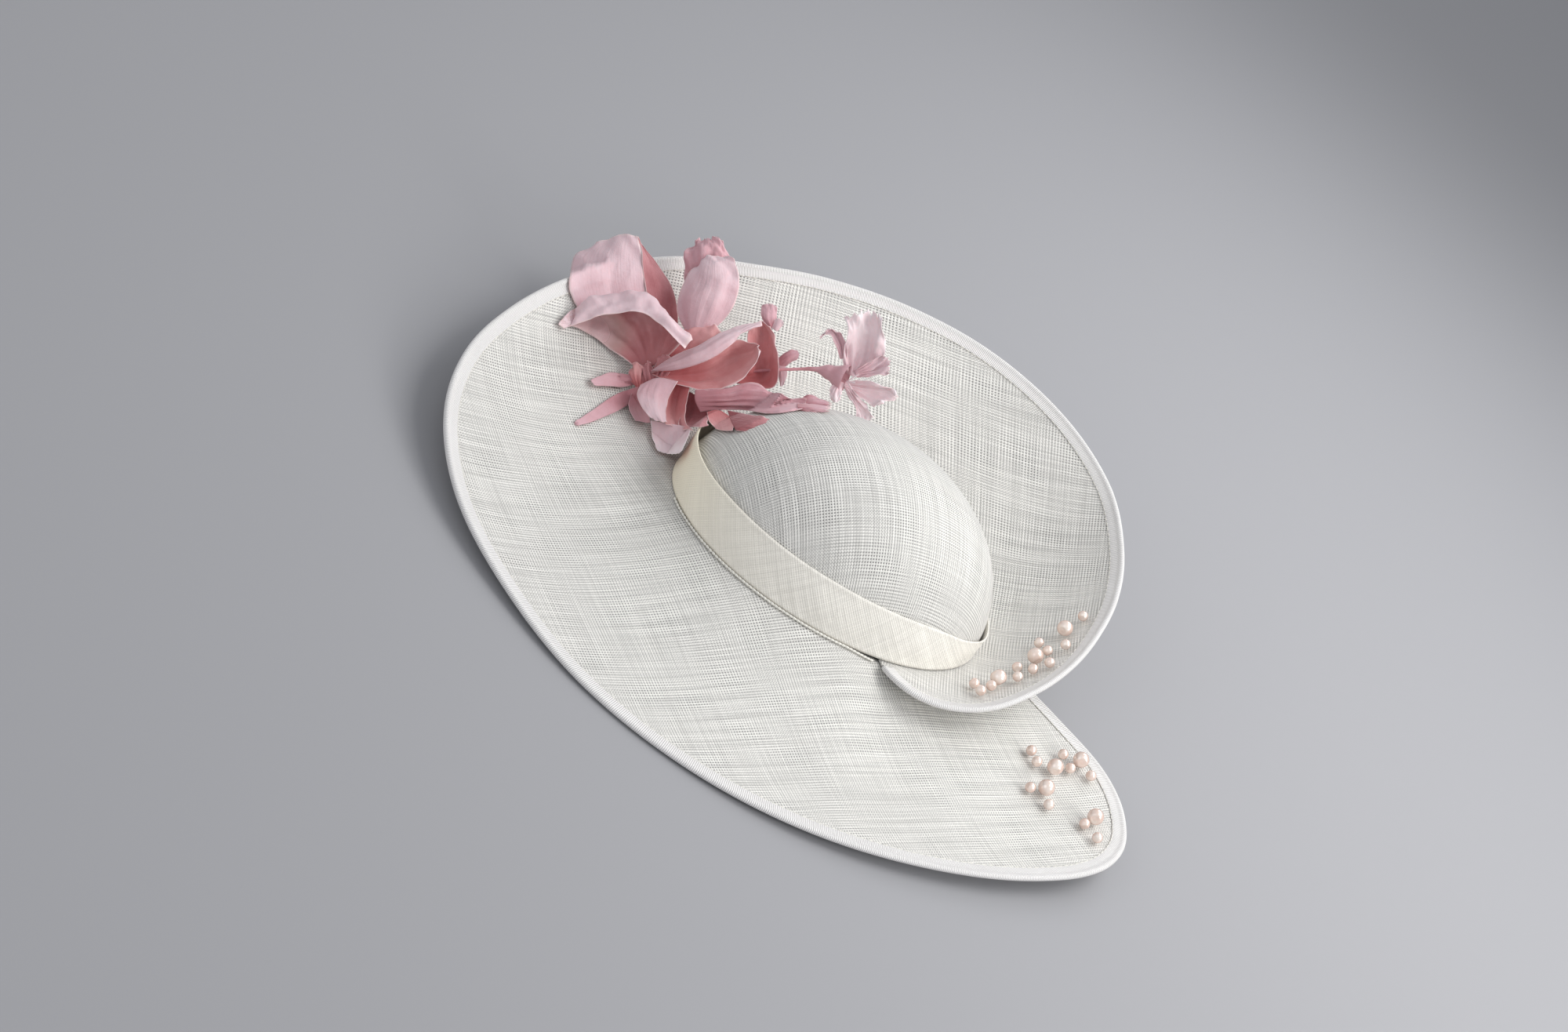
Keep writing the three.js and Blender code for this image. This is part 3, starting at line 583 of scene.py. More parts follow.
def dome_way(tilt):
    """Way from the top of the dome down its side, as a share of the radius at the foot."""
    middle = (CROWN_LENGTH + CROWN_WIDTH) / 4
    steps = 24
    way = 0.0
    for step in range(steps):
        angle = tilt * (step + 0.5) / steps
        way += math.hypot(middle * math.cos(angle), CROWN_HEIGHT * math.sin(angle)) * tilt / steps
    return way / middle


def make_crown():
    deselect_all()
    bpy.ops.mesh.primitive_uv_sphere_add(segments=144, ring_count=96, radius=1)
    crown = bpy.context.object
    crown.name = crown.data.name = "sinamay_crown"
    bpy.ops.object.mode_set(mode="EDIT")
    bpy.ops.mesh.select_all(action="SELECT")
    bpy.ops.mesh.bisect(plane_co=(0, 0, 0.001), plane_no=(0, 0, 1), clear_inner=True)
    bpy.ops.mesh.select_all(action="SELECT")
    oval = (CROWN_WIDTH / 2, CROWN_LENGTH / 2, CROWN_HEIGHT)
    bpy.ops.transform.resize(value=oval, center_override=(0, 0, 0))
    bpy.ops.object.mode_set(mode="OBJECT")
    mesh = crown.data
    uv = mesh.uv_layers[0].data
    for loop in mesh.loops:
        place = mesh.vertices[loop.vertex_index].co
        tilt = math.acos(min(max(place.z / CROWN_HEIGHT, 0), 1))
        turn = math.atan2(place.y, place.x)
        way = dome_way(tilt) * headline(math.degrees(turn))
        uv[loop.index].uv = (way * math.cos(turn - CROWN_GRAIN) * MM, way * math.sin(turn - CROWN_GRAIN) * MM)
    for vertex in mesh.vertices:
        vertex.co = LIE_DOWN @ (vertex.co * (1 - SINAMAY_WALL / 2 / CROWN_HEIGHT))
    mesh.materials.clear()
    mesh.materials.append(SINAMAY)
    solidify(crown, SINAMAY_WALL)
    bpy.ops.object.shade_smooth()
    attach(crown, "root")
    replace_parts(crown, "crown")
    return crown


crown = make_crown()
print("crown", len(crown.data.polygons), "faces")

# %% [markdown]
# ## Brim
#
# The brim is a grid with one column for each step along the edge and one row for each step from
# the crown out. Its threads bend slightly with the turn, as they do where blocked cloth is
# pulled round. Sinamay never lies quite even, so the sheet gets waves of a few tenths of a
# millimetre. The first row lies a little inside the headline, as the collar that is sewn in.

# %% Block the brim
COLLAR, BRIM_ROWS = 2.5, 56
WAVE = 0.35
STATIONS = {}


def station_at(u):
    """Station at a share of the edge, worked out once for all rows of a grid."""
    key = round(u, 6)
    if key not in STATIONS:
        STATIONS[key] = edge_at(u * EDGE_LENGTH)
    return STATIONS[key]


def brim_place(u, v):
    turn, out, _, _ = station_at(u)
    reach = -COLLAR + (out + COLLAR) * v
    point = brim_point(turn, reach) if reach > LEDGE_WIDTH else around(
        turn, headline(turn) + reach, brim_height(turn, LEDGE_WIDTH))
    wave = math.sin(turn * 0.21 + reach * 0.05) * math.sin(turn * 0.083 - reach * 0.031)
    return point + Vector((0, 0, WAVE * wave * min(v * 4, 1) * min((1 - v) * 6, 1)))


def brim_threads(u, v):
    turn, out, _, _ = station_at(u)
    reach = -COLLAR + (out + COLLAR) * v
    rise = brim_height(turn, max(reach, LEDGE_WIDTH)) - brim_height(turn, LEDGE_WIDTH)
    way = headline(turn) + math.copysign(math.hypot(reach, rise), reach)
    bent = math.radians(turn + 5 - 39 * eased(turn, 100, 265))
    return way * math.cos(bent), way * math.sin(bent)


brim = sheet("sinamay_brim", EDGE_STATIONS, BRIM_ROWS, brim_place, brim_threads, SINAMAY,
             wall=SINAMAY_WALL)
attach(brim, "root")
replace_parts(brim, "brim")
print("brim", len(brim.data.polygons), "faces")

# %% [markdown]
# ## Binding
#
# A millinery wire runs along the brim edge, and a ribbon with fine cross ribs is folded over it.
# The fold is round where the wire is and lies flat beside it. Its cross-section is walked along
# the edge. The map counts millimetres along the edge, so the ribs stay straight across. The shade
# in the grooves between the ribs is painted into the ribbon's colour, with soft random tone.

# %% Ribbed ribbon
RIB_PITCH = 0.0011
RIBBON_GROOVE_SHADE_AND_TONE, RIBBON_LIGHT = (0.64, 0.62, 0.60, 1), (0.90, 0.885, 0.87, 1)


def ribbon_material():
    material = new_material("ribbed_ribbon", (0.77, 0.745, 0.715), 0.55)
    w = Wiring(material.node_tree)
    shader = shader_of(material)
    spread = w.node("ShaderNodeSeparateXYZ", {0: w.node("ShaderNodeUVMap").outputs["UV"]})
    phase = w.maths("MULTIPLY", spread.outputs[0], 2 * math.pi / RIB_PITCH)
    rib = w.maths("ADD", w.maths("MULTIPLY", w.maths("SINE", phase), 0.5), 0.5)
    soft = w.noise(w.node("ShaderNodeTexCoord").outputs["Object"], 60.0, 3.0)
    # Painted shade: the colour is darker in the grooves between the ribs, mixed with soft random tone.
    shade = w.maths("ADD", w.maths("MULTIPLY", rib, 0.7), w.maths("MULTIPLY", soft, 0.3))
    w.feed(shader.inputs["Base Color"], w.mix(w.ramp(shade, 0.15, 0.75), RIBBON_GROOVE_SHADE_AND_TONE, RIBBON_LIGHT))
    bump = w.node("ShaderNodeBump", {"Height": rib, "Distance": 0.0003, "Strength": 0.9})
    w.feed(shader.inputs["Normal"], bump.outputs[0])
    shader.inputs["Sheen Weight"].default_value = 0.2
    return material


RIBBON = ribbon_material()
FOLD = [  # inwards from the edge, raised off the middle of the sheet
    (7.2, 0.7), (6.6, 0.9), (5.0, 0.9), (3.0, 0.9), (2.0, 0.95), (1.2, 1.3), (0.2, 1.5), (-0.8, 1.25),
    (-1.35, 0.65), (-1.5, 0), (-1.35, -0.65), (-0.8, -1.25), (0.2, -1.5), (1.2, -1.3), (2.0, -0.95),
    (3.0, -0.9), (5.0, -0.9), (6.6, -0.9), (7.2, -0.7),
]


# %% Fold the binding over the edge
RIBBON_WIDTH, RIBBON_WALL = 22, 0.35


def fold_at(v):
    at = min(v * (len(FOLD) - 1), len(FOLD) - 1.000001)
    index = int(at)
    (a, b), (c, d) = FOLD[index], FOLD[index + 1]
    return a + (c - a) * (at - index), b + (d - b) * (at - index)


def binding_place(u, v):
    inwards, raised = fold_at(v)
    return edge_point(station_at(u), inwards, raised)


def binding_threads(u, v):
    return u * EDGE_LENGTH, v * RIBBON_WIDTH


binding = sheet("ribbon_binding", 2 * EDGE_STATIONS, len(FOLD) - 1, binding_place, binding_threads,
                RIBBON, wall=RIBBON_WALL)
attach(binding, "root")
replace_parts(binding, "edge_binding")
print("binding", len(binding.data.polygons), "faces")

# %% [markdown]
# ## Stitches
#
# Small stitches hold the inner edge of the binding. One stitch is a stretched ball with few
# faces. It is copied along the edge, each copy a little out of line, as sewn by hand.

# %% Sew along a line
random.seed(7)
THREAD = new_material("sewing_thread", (0.83, 0.81, 0.74), 0.5)
STITCH_STEP, STITCH_INWARDS, STITCH_RAISED = 4.4, 7.1, 0.95


def sew(name, spots, length, radius):
    """One mesh of many stitches: spots are places and directions on the upright hat."""
    deselect_all()
    bpy.ops.mesh.primitive_uv_sphere_add(segments=6, ring_count=5, radius=1)
    pattern = bpy.context.object
    corners = [vertex.co.copy() for vertex in pattern.data.vertices]
    faces = [tuple(polygon.vertices) for polygon in pattern.data.polygons]
    bpy.data.objects.remove(pattern)
    shape = bmesh.new()
    for place, along in spots:
        turn = along.to_track_quat("Z", "Y").to_matrix()
        moved = [place + turn @ Vector((c.x * radius, c.y * radius, c.z * length / 2)) for c in corners]
        made = [shape.verts.new(LIE_DOWN @ corner) for corner in moved]
        for face in faces:
            shape.faces.new([made[index] for index in face])
    mesh = bpy.data.meshes.new(name)
    shape.to_mesh(mesh)
    shape.free()
    for polygon in mesh.polygons:
        polygon.use_smooth = True
    mesh.materials.append(THREAD)
    piece = bpy.data.objects.new(name, mesh)
    bpy.context.collection.objects.link(piece)
    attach(piece, "root")
    return piece


def binding_stitches():
    spots = []
    for count in range(int(EDGE_LENGTH / STITCH_STEP)):
        station = edge_at((count + 0.5) * STITCH_STEP + random.uniform(-0.3, 0.3))
        for side in (1, -1):
            inwards = STITCH_INWARDS + random.uniform(-0.15, 0.15)
            spots.append((edge_point(station, inwards, side * STITCH_RAISED), station[3]))
    return spots


binding_thread = sew("binding_stitches", binding_stitches(), 3.5, 0.27)
print("binding stitches", len(binding_thread.data.polygons), "faces")

# %% [markdown]
# ## Crown band
#
# A wide strip of finer sinamay, cut on the bias and folded, goes round the foot of the crown.
# Its upper edge stands off in front, where it turns away under the flowers. The fold makes the
# edges round, and the bias makes soft drag lines. It is creamier in front and near white at the
# side, which an attribute along the band carries to the material.

# %% Wind the band
BAND_OFF_CROWN, BAND_WALL = 0.95, 0.9
BAND_MIDDLE_RADIUS = 94
BIAS = 0.7071
# Its holes are painted a darker cream: painted shade of the crown beneath, seen through the weave.
BAND_TINT = weave_material(
    "bias_band", (0.94, 0.915, 0.86), (0.72, 0.67, 0.56), 0.55, 0.05, pitch=0.0013,
    see_through=0.1, tint=("cream", (0.97, 0.89, 0.70)), streaks=0.82,
)


def band_edge(turn, share):
    foot = -0.1
    top = BAND_HEIGHT * smooth(BAND_SECTIONS, 1, turn)
    height = foot + share * (top - foot)
    crown_at = headline(turn) * math.sqrt(1 - (height / CROWN_HEIGHT) ** 2)
    off = share ** 2 * BAND_STANDOFF * smooth(BAND_SECTIONS, 2, turn)
    return crown_at + BAND_OFF_CROWN + off, height


def band_place(u, v):
    turn = 360 * u
    radius, height = band_edge(turn, v)
    drag = 0.35 * math.sin(math.radians(turn) * 9 + v * 5) * math.sin(v * math.pi)
    fold = 0.35 * math.exp(-((v - 0.05) / 0.05) ** 2) + 0.3 * math.exp(-((v - 0.96) / 0.04) ** 2)
    return around(turn, radius + drag * 0.6 + fold, height)


def band_threads(u, v):
    way = math.radians(360 * u) * BAND_MIDDLE_RADIUS
    return (way + v * BAND_HEIGHT) * BIAS, (v * BAND_HEIGHT - way) * BIAS


def creamy(u, v):
    turn = 360 * u
    front = math.exp(-((turn - 262) / 42) ** 2)
    return min(1, 0.95 * front + 0.12)


band = sheet("bias_band", 480, 20, band_place, band_threads, BAND_TINT, wall=BAND_WALL, closed=True,
             attributes={"cream": creamy})
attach(band, "root")
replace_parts(band, "crown_band")
print("band", len(band.data.polygons), "faces")

# %% Sew the band down
SEAM_STITCHES, SEAM_START, SEAM_STEP = 62, 286, 1.55
SEAM_OUT, SEAM_RAISED = 3, 1.4


def band_seam():
    spots = []
    for count in range(SEAM_STITCHES):
        turn = SEAM_START + count * SEAM_STEP
        out = headline(turn) + SEAM_OUT
        height = brim_height(turn, LEDGE_WIDTH) + SEAM_RAISED
        here = around(turn, out, height)
        spots.append((here, (around(turn + 1, out, height) - here).normalized()))
    return spots


band_thread = sew("band_seam", band_seam(), 3.0, 0.75)
print(SEAM_STITCHES, "stitches in the band's seam")

# %% [markdown]
# ## Pearls
#
# Each pearl is drilled and sewn on with two threads, which are not modelled. A pearl is a ball
# whose two poles are pushed in to make the drill hole. Every pearl gets its own copy, turned its own way.
# The lustre is a warm pink under a clear coat. Where the surface turns away it is painted a deeper
# brown: painted reflection of dark surroundings.

# %% Pearl lustre
def pearl_material():
    material = new_material("pearl_lustre", (0.82, 0.58, 0.50), 0.22)
    w = Wiring(material.node_tree)
    shader = shader_of(material)
    spread = w.node("ShaderNodeTexCoord").outputs["Object"]
    cloud = w.noise(spread, 160.0, 3.0)
    # Painted reflection: towards the rim, where the surface turns away, the colour is mixed to a darker brown
    # for the dark surroundings.
    turned = w.node("ShaderNodeLayerWeight", {"Blend": 0.45}).outputs["Facing"]
    skin = w.mix(w.ramp(cloud, 0.35, 0.65), (0.93, 0.73, 0.63, 1), (0.98, 0.88, 0.80, 1))
    w.feed(shader.inputs["Base Color"], w.mix(turned, skin, (0.62, 0.36, 0.27, 1)))
    shader.inputs["Metallic"].default_value = 0.15
    shader.inputs["Coat IOR"].default_value = 2.0
    shader.inputs["Coat Weight"].default_value = 1.0
    shader.inputs["Coat Roughness"].default_value = 0.04
    shader.inputs["Specular IOR Level"].default_value = 0.7
    return material


PEARL = pearl_material()


# %% Drill the pearls
def make_pearl(name, centre, size, axis):
    deselect_all()
    bpy.ops.mesh.primitive_uv_sphere_add(segments=28, ring_count=18, radius=size / 2)
    pearl = bpy.context.object
    pearl.name = pearl.data.name = name
    bpy.ops.object.mode_set(mode="EDIT")
    bpy.ops.mesh.select_all(action="DESELECT")
    bpy.ops.object.mode_set(mode="OBJECT")
    for polygon in pearl.data.polygons:
        polygon.select = abs(polygon.center.z) > 0.47 * size
    bpy.ops.object.mode_set(mode="EDIT")
    bpy.ops.mesh.select_mode(type="FACE")
    bpy.ops.transform.resize(value=(1, 1, 0.86), center_override=(0, 0, 0))
    bpy.ops.object.mode_set(mode="OBJECT")
    bpy.ops.object.shade_smooth()
    pearl.data.transform(Matrix.Translation(centre) @ axis.to_track_quat("Z", "Y").to_matrix().to_4x4())
    pearl.data.materials.clear()
    pearl.data.materials.append(PEARL)
    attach(pearl, "root")
    return pearl


random.seed(11)
pearl_nodes = sorted(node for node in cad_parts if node.startswith("pearl_"))
for name in pearl_nodes:
    low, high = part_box(name)
    middle, size = (low + high) / 2, (high - low).z
    turn = random.uniform(0, 2 * math.pi)
    axis = Vector((math.cos(turn), math.sin(turn), random.uniform(-0.3, 0.3))).normalized()
    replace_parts(make_pearl(f"drilled_{name}", middle, size, axis), name)
print(len(pearl_nodes), "pearls")

# %% [markdown]
# ## Silk petals
#
# The flowers are cut from thin silk, dyed by hand and pressed into shape with a hot iron. Their
# outside is a pale lilac pink, their inside a salmon rose that deepens towards the throat, and
# every rim is a thin pale line. The two sides get a material each: Solidify gives the second
# side of the cloth the next material slot. Fine pressed veins and soft clouds of dye break up
# both.

# %% Petal silk
def silk_material(name, deep, pale, rim, glow=0.12, sheer=None):
    material = new_material(name, pale, 0.7)
    w = Wiring(material.node_tree)
    shader = shader_of(material)
    spread = w.node("ShaderNodeUVMap").outputs["UV"]
    body_place = w.node("ShaderNodeTexCoord").outputs["Object"]
    down, side = w.attribute("down"), w.attribute("side")
    cloud = w.noise(body_place, 55.0, 4.0, 0.6)
    vein = w.noise(w.stretched(spread, (22.0, 520.0, 1.0)), 1.0, 2.0, 0.5)
    drift = w.maths("MULTIPLY", w.maths("SUBTRACT", cloud, 0.5), 1.1)
    body = w.mix(w.ramp(w.maths("ADD", down, drift), 0.0, 0.9), (*deep, 1), (*pale, 1))
    body = w.mix(w.ramp(vein, 0.45, 0.8, 0.0, 0.22), body, (*deep, 1))
    if sheer:
        thin = w.attribute("thin")
        body = w.mix(thin, body, (*sheer, 1))
        w.feed(shader.inputs["Alpha"], w.ramp(thin, 0.05, 0.8, 1.0, 0.2))
    edge = w.ramp(side, 0.93, 1.0, 0.0, 0.75)
    w.feed(shader.inputs["Base Color"], w.mix(edge, body, (*rim, 1)))
    crease = w.noise(body_place, 170.0, 3.0, 0.55)
    fine = w.noise(body_place, 1400.0, 1.0)
    height = w.maths("ADD", w.maths("MULTIPLY", vein, 0.45), w.maths("MULTIPLY", fine, 0.1))
    height = w.maths("ADD", height, w.maths("MULTIPLY", crease, 0.9))
    bump = w.node("ShaderNodeBump", {"Height": height, "Distance": 0.0012, "Strength": 0.55})
    w.feed(shader.inputs["Normal"], bump.outputs[0])
    shader.inputs["Sheen Weight"].default_value = 0.25
    shader.inputs["Sheen Roughness"].default_value = 0.4
    shader.inputs["Sheen Tint"].default_value = (1, 0.86, 0.88, 1)
    shader.inputs["Specular IOR Level"].default_value = 0.3
    shader.inputs["Subsurface Weight"].default_value = glow
    shader.inputs["Subsurface Radius"].default_value = (0.004, 0.002, 0.002)
    return material


PALE_RIM = (0.86, 0.68, 0.67)
LILAC = silk_material("lilac_silk", (0.64, 0.405, 0.44), (0.76, 0.575, 0.61), PALE_RIM, 0.2)
MAUVE = silk_material("mauve_silk", (0.52, 0.225, 0.25), (0.70, 0.44, 0.48), (0.72, 0.49, 0.51))
SALMON = silk_material("salmon_silk", (0.56, 0.17, 0.175), (0.70, 0.36, 0.36), PALE_RIM)
DEEP_ROSE = silk_material("deep_rose_silk", (0.34, 0.10, 0.11), (0.54, 0.25, 0.265), PALE_RIM)
BLUSH = silk_material("blush_silk", (0.74, 0.53, 0.56), (0.88, 0.75, 0.77), (0.9, 0.82, 0.83), 0.25)
SHEER_ROSE = silk_material("sheer_rose_silk", (0.50, 0.19, 0.20), (0.74, 0.46, 0.47), PALE_RIM,
                           sheer=(0.80, 0.68, 0.60))

# %% [markdown]
# A petal is a grid again, pulled over a few sections from its foot to its tip. Each section is
# a row of points across the petal, and each point says how far it lies to the right of the
# flower's heart, above it, and in front of it, in millimetres and as the camera sees the
# flower. That is how a maker arranges silk: by looking at it. A smooth surface goes through the
# points. Small waves grow towards the rim, where pressed silk stretches, and a frayed petal has
# a toothed end. Where a petal would pass through crown, band or brim, its points move towards
# the camera until they are clear. That looks right from the camera and draws some petals long
# from the side. The trumpet's petals stand free and are left where they are.

# %% Shape a petal
FLOWER_TURN, FLOWER_OUT = 240, 44
HEART = brim_point(FLOWER_TURN, FLOWER_OUT) + brim_normal(FLOWER_TURN, FLOWER_OUT) * 8.1
EYE = away * CAMERA_DISTANCE / MM
SILK_WALL = 0.25
LAYER_STEP, LAYERS = 0.5, 7
CLEAR_OF_CROWN, CLEAR_OF_BAND = 1.5, 8.5
CLEAR_ABOVE_BRIM, CLEAR_BELOW_BRIM, CLEAR_ABOVE_BINDING = 2.2, 6, 1.2
SEARCH_STEP, SEARCH_STEPS = 1.6, 28
SILK_PIECES = []


def seen(spot, set_back=0):
    """Point of the upright hat from its place as the camera sees it."""
    across, above, near = spot
    place = HEART + right * across + up * above
    return place + (EYE - place).normalized() * (near - set_back)


@functools.lru_cache(maxsize=None)
def brim_rows(tenths):
    """Width of the brim and its heights at ten steps out, at a turn in tenths of a degree."""
    turn = tenths / 10
    width = brim_width(turn)
    return width, [brim_height(turn, width * step / 10) for step in range(11)]


def in_hat(point):
    """Whether a point lies in or too near crown, band or brim."""
    beside = CLEAR_OF_BAND if point.z < BAND_HEIGHT + 2 else CLEAR_OF_CROWN
    reach = math.hypot(point.x / (CROWN_WIDTH / 2 + beside), point.y / (CROWN_LENGTH / 2 + beside),
                       point.z / (CROWN_HEIGHT + beside))
    if reach < 1:
        return True
    turn = math.degrees(math.atan2(point.y, point.x)) % 360
    out = math.hypot(point.x, point.y) - headline(turn)
    width, heights = brim_rows(round(turn * 10))
    if out > width + 3:
        return False
    step = min(out / width * 10, 9.999)
    low = int(step)
    height = heights[low] + (heights[low + 1] - heights[low]) * (step - low)
    binding = CLEAR_ABOVE_BINDING if out > width - 8 else 0
    return height - CLEAR_BELOW_BRIM < point.z < height + CLEAR_ABOVE_BRIM + binding


def clear_of_hat(point, over=0.0):
    """The point itself, or where it comes out of the hat for good on its way to the camera."""
    ahead = (EYE - point).normalized()
    inside = [step for step in range(SEARCH_STEPS) if in_hat(point + ahead * step * SEARCH_STEP)]
    if not inside:
        return point
    low, high = inside[-1] * SEARCH_STEP, inside[-1] * SEARCH_STEP + SEARCH_STEP
    for _ in range(5):
        middle = (low + high) / 2
        low, high = (middle, high) if in_hat(point + ahead * middle) else (low, middle)
    return point + ahead * (high + over)


def even_curve(points, at):
    """Smooth curve through points at even steps, with at from 0 to 1."""
    place = min(max(at, 0), 1) * (len(points) - 1)
    index = min(int(place), len(points) - 2)
    t = place - index
    p1, p2 = points[index], points[index + 1]
    p0 = points[index - 1] if index else 2 * p1 - p2
    p3 = points[index + 2] if index + 2 < len(points) else 2 * p2 - p1
    return 0.5 * (2 * p1 + (p2 - p0) * t + (2 * p0 - 5 * p1 + 4 * p2 - p3) * t * t
                  + (3 * p1 - p0 - 3 * p2 + p3) * t ** 3)


def crumpled(point, seed):
    """Small folds of pressed silk, in millimetres."""
    spot = Vector((point.x, point.y, point.z + seed))
    return 1.3 * noise.noise(spot / 13) + 0.6 * noise.noise(spot / 6) + 0.22 * noise.noise(spot / 2.6)


def petal(name, sections, front, back, ruffle=1.0, fray=0.0, set_back=0, fineness=(44, 30), pleats=0.25,
          free=False):
    """Petal through sections from foot to tip, with a silk for the side that faces the camera."""
    chance = random.Random(name)
    phases = [chance.uniform(0, 2 * math.pi) for _ in range(8)]
    rows = [[seen(spot, set_back) for spot in section] for section in sections]
    size = (rows[-1][1] - rows[0][1]).length
    over = LAYER_STEP * (len(SILK_PIECES) % LAYERS)

    def surface(u, v):
        return even_curve([even_curve(row, v) for row in rows], u)

    def place(u, v):
        teeth = 0.5 * fray * (1 + math.sin(47 * v + phases[0]) * math.sin(13 * v + phases[1]))
        reach = u * (1 - teeth * 0.16)
        here = surface(reach, v)
        step = 0.02
        along = surface(min(reach + step, 1), v) - surface(max(reach - step, 0), v)
        across = surface(reach, min(v + step, 1)) - surface(reach, max(v - step, 0))
        face = along.cross(across)
        face = face.normalized() if face.length > 1e-6 else Vector((0, 0, 1))
        rim = (2 * abs(v - 0.5)) ** 2.5 * eased(u, 0.15, 0.7)
        top = eased(u, 0.6, 1)
        lift = 1.1 * rim * math.sin(11 * u + phases[2] + 3 * v)
        lift += 0.9 * top * math.sin(8.5 * v + phases[3])
        lift += 0.4 * (rim + top) * math.sin(23 * u + 19 * v + phases[4])
        lift += 0.35 * math.sin(14 * v + 4 * u + phases[5]) * eased(u, 0, 0.4)
        lift += pleats * math.sin(27 * (v - 0.5) * (1.3 - u) + 2.5 * u + phases[6]) * eased(u, 0, 0.25)
        lift += crumpled(here, phases[7] * 9) * eased(u, 0, 0.3)
        here += face * lift * ruffle * min(1, size / 40)
        return here if free else clear_of_hat(here, over)

    def threads(u, v):
        return size * u, size * 0.8 * (v - 0.5)

    attributes = {
        "down": lambda u, v: u,
        "side": lambda u, v: max(abs(2 * v - 1), 1 - 2.2 * (1 - u)),
        "thin": lambda u, v: eased(u, 0.1, 0.4) * (1 - eased(v + 0.25 * u, 0.1, 0.52)),
    }
    middle = surface(0.5, 0.5)
    facing_out = (surface(0.6, 0.5) - middle).cross(surface(0.5, 0.6) - middle)
    first, second = (front, back) if facing_out.dot(EYE - middle) > 0 else (back, front)
    piece = sheet(name, *fineness, place, threads, first, attributes=attributes)
    piece.data.materials.append(second)
    apply_modifier(piece, "SOLIDIFY", thickness=SILK_WALL * MM, offset=0, material_offset=1,
                   material_offset_rim=0)
    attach(piece, "root")
    SILK_PIECES.append((piece, size))
    return piece


# %% [markdown]
# ## The large flower
#
# It has two tall petals at the back, the left one with its right part folded over, a wide wavy
# one that leans out to the left, a lilac one whose edge rolls over a deep salmon throat, a cup
# in front, and long ones that lie along the top of the crown.

# %% Sections of the large petals: right, up and near, in millimetres from the heart
TALL_LEFT = [
    [(-3, 13, 0), (1, 14, 1), (4, 15, 0)],
    [(-40, 37, -8), (-25, 40, -6), (-8, 40, -12)],
    [(-55, 56, -16), (-33, 62, -9), (-11, 60, -14)],
    [(-53, 77, -22), (-33, 80, -16), (-13, 78, -18)],
    [(-41, 86, -23), (-27, 91, -21), (-16, 90, -20)],
]
TALL_LEFT_FOLD = [
    [(4, 15, 0), (5, 16, -2), (6, 18, -4)],
    [(-8, 40, -12), (0, 41, -18), (8, 40, -22)],
    [(-11, 60, -14), (-2, 63, -22), (6, 56, -26)],
    [(-13, 78, -18), (-9, 76, -24), (-4, 73, -27)],
    [(-16, 90, -20), (-15, 88, -22), (-13, 85, -23)],
]
TALL_RIGHT = [
    [(16, 27, -2), (17, 28, 0), (20, 29, -2)],
    [(7, 47, -12), (22, 45, -5), (37, 43, -12)],
    [(11, 62, -17), (28, 62, -9), (44, 60, -16)],
    [(18, 72, -20), (29, 74, -14), (42, 72, -19)],
    [(23, 76, -21), (30, 79, -19), (39, 77, -20)],
]
TALL_RIGHT_TIP = [
    [(15, 51, -24), (23, 52, -20), (32, 51, -24)],
    [(12, 69, -26), (25, 70, -21), (39, 69, -26)],
    [(13, 80, -27), (26, 82, -22), (39, 79, -26)],
    [(20, 89, -26), (26, 90, -24), (33, 89, -25)],
]
WIDE_WAVY = [
    [(-14, 11, 4), (-11, 12, 4), (-8, 13, 3), (-5, 15, 4), (-2, 16, 5)],
    [(-29, 22, 8), (-21, 30, 3), (-11, 34, 1), (1, 32, 5), (9, 26, 12)],
    [(-48, 35, 12), (-33, 45, 8), (-18, 47, 5), (-2, 45, 9), (13, 32, 16)],
    [(-62, 39, 12), (-49, 51, 16), (-32, 57, 16), (-6, 54, 15), (16, 29, 20)],
    [(-60, 37, 17), (-47, 47, 22), (-30, 52, 22), (-7, 49, 21), (14, 27, 24)],
    [(-57, 35, 19), (-43, 42, 25), (-29, 45, 25), (-9, 43, 24), (12, 24, 26)],
]
ROLLED_LILAC = [
    [(-8, 11, 12), (-8, 11, 13), (-7, 11, 12)],
    [(4, 19, 14), (6, 16, 18), (9, 12, 17)],
    [(19, 26, 12), (23, 22, 18), (27, 18, 17)],
    [(34, 33, 8), (37, 30, 13), (40, 27, 12)],
    [(46, 38, 4), (48, 36, 8), (47, 33, 7)],
    [(57, 40, 0), (57, 39, 2), (56, 38, 2)],
]
SALMON_THROAT = [
    [(-8, 10, 10), (-7, 10, 9), (-7, 9, 10)],
    [(8, 14, 12), (8, 8, 6), (7, 3, 16)],
    [(26, 20, 12), (27, 10, 2), (27, 0, 18)],
    [(40, 28, 8), (42, 18, -2), (43, 4, 16)],
    [(49, 28, 6), (52, 22, 2), (51, 13, 13)],
    [(55, 26, 8), (55, 25, 8), (55, 23, 10)],
]
DARK_RIGHT = [
    [(37, 10, 0), (39, 7, -2), (41, 4, 0)],
    [(49, 13, -2), (57, 7, -8), (64, 1, 2)],
    [(49, 24, -2), (58, 20, -9), (67, 18, 1)],
    [(49, 33, -1), (58, 33, -7), (65, 29, 0)],
    [(52, 39, 0), (57, 40, -2), (62, 37, 0)],
]
CUP_LOBE = [
    [(-14, 3, 20), (-4, 7, 17), (8, 5, 17)],
    [(-16, -3, 28), (-7, -3, 27), (3, -4, 20)],
    [(-12, -12, 32), (-5, -13, 32), (1, -12, 25)],
    [(-5, -18, 32), (-1, -19, 33), (2, -19, 29)],
]
CUP_THROAT = [
    [(5, 5, 14), (10, 4, 10), (15, 1, 16)],
    [(1, -5, 16), (7, -6, 10), (13, -8, 19)],
    [(0, -13, 21), (6, -15, 15), (12, -17, 24)],
    [(1, -20, 29), (8, -23, 25), (17, -24, 30)],
]
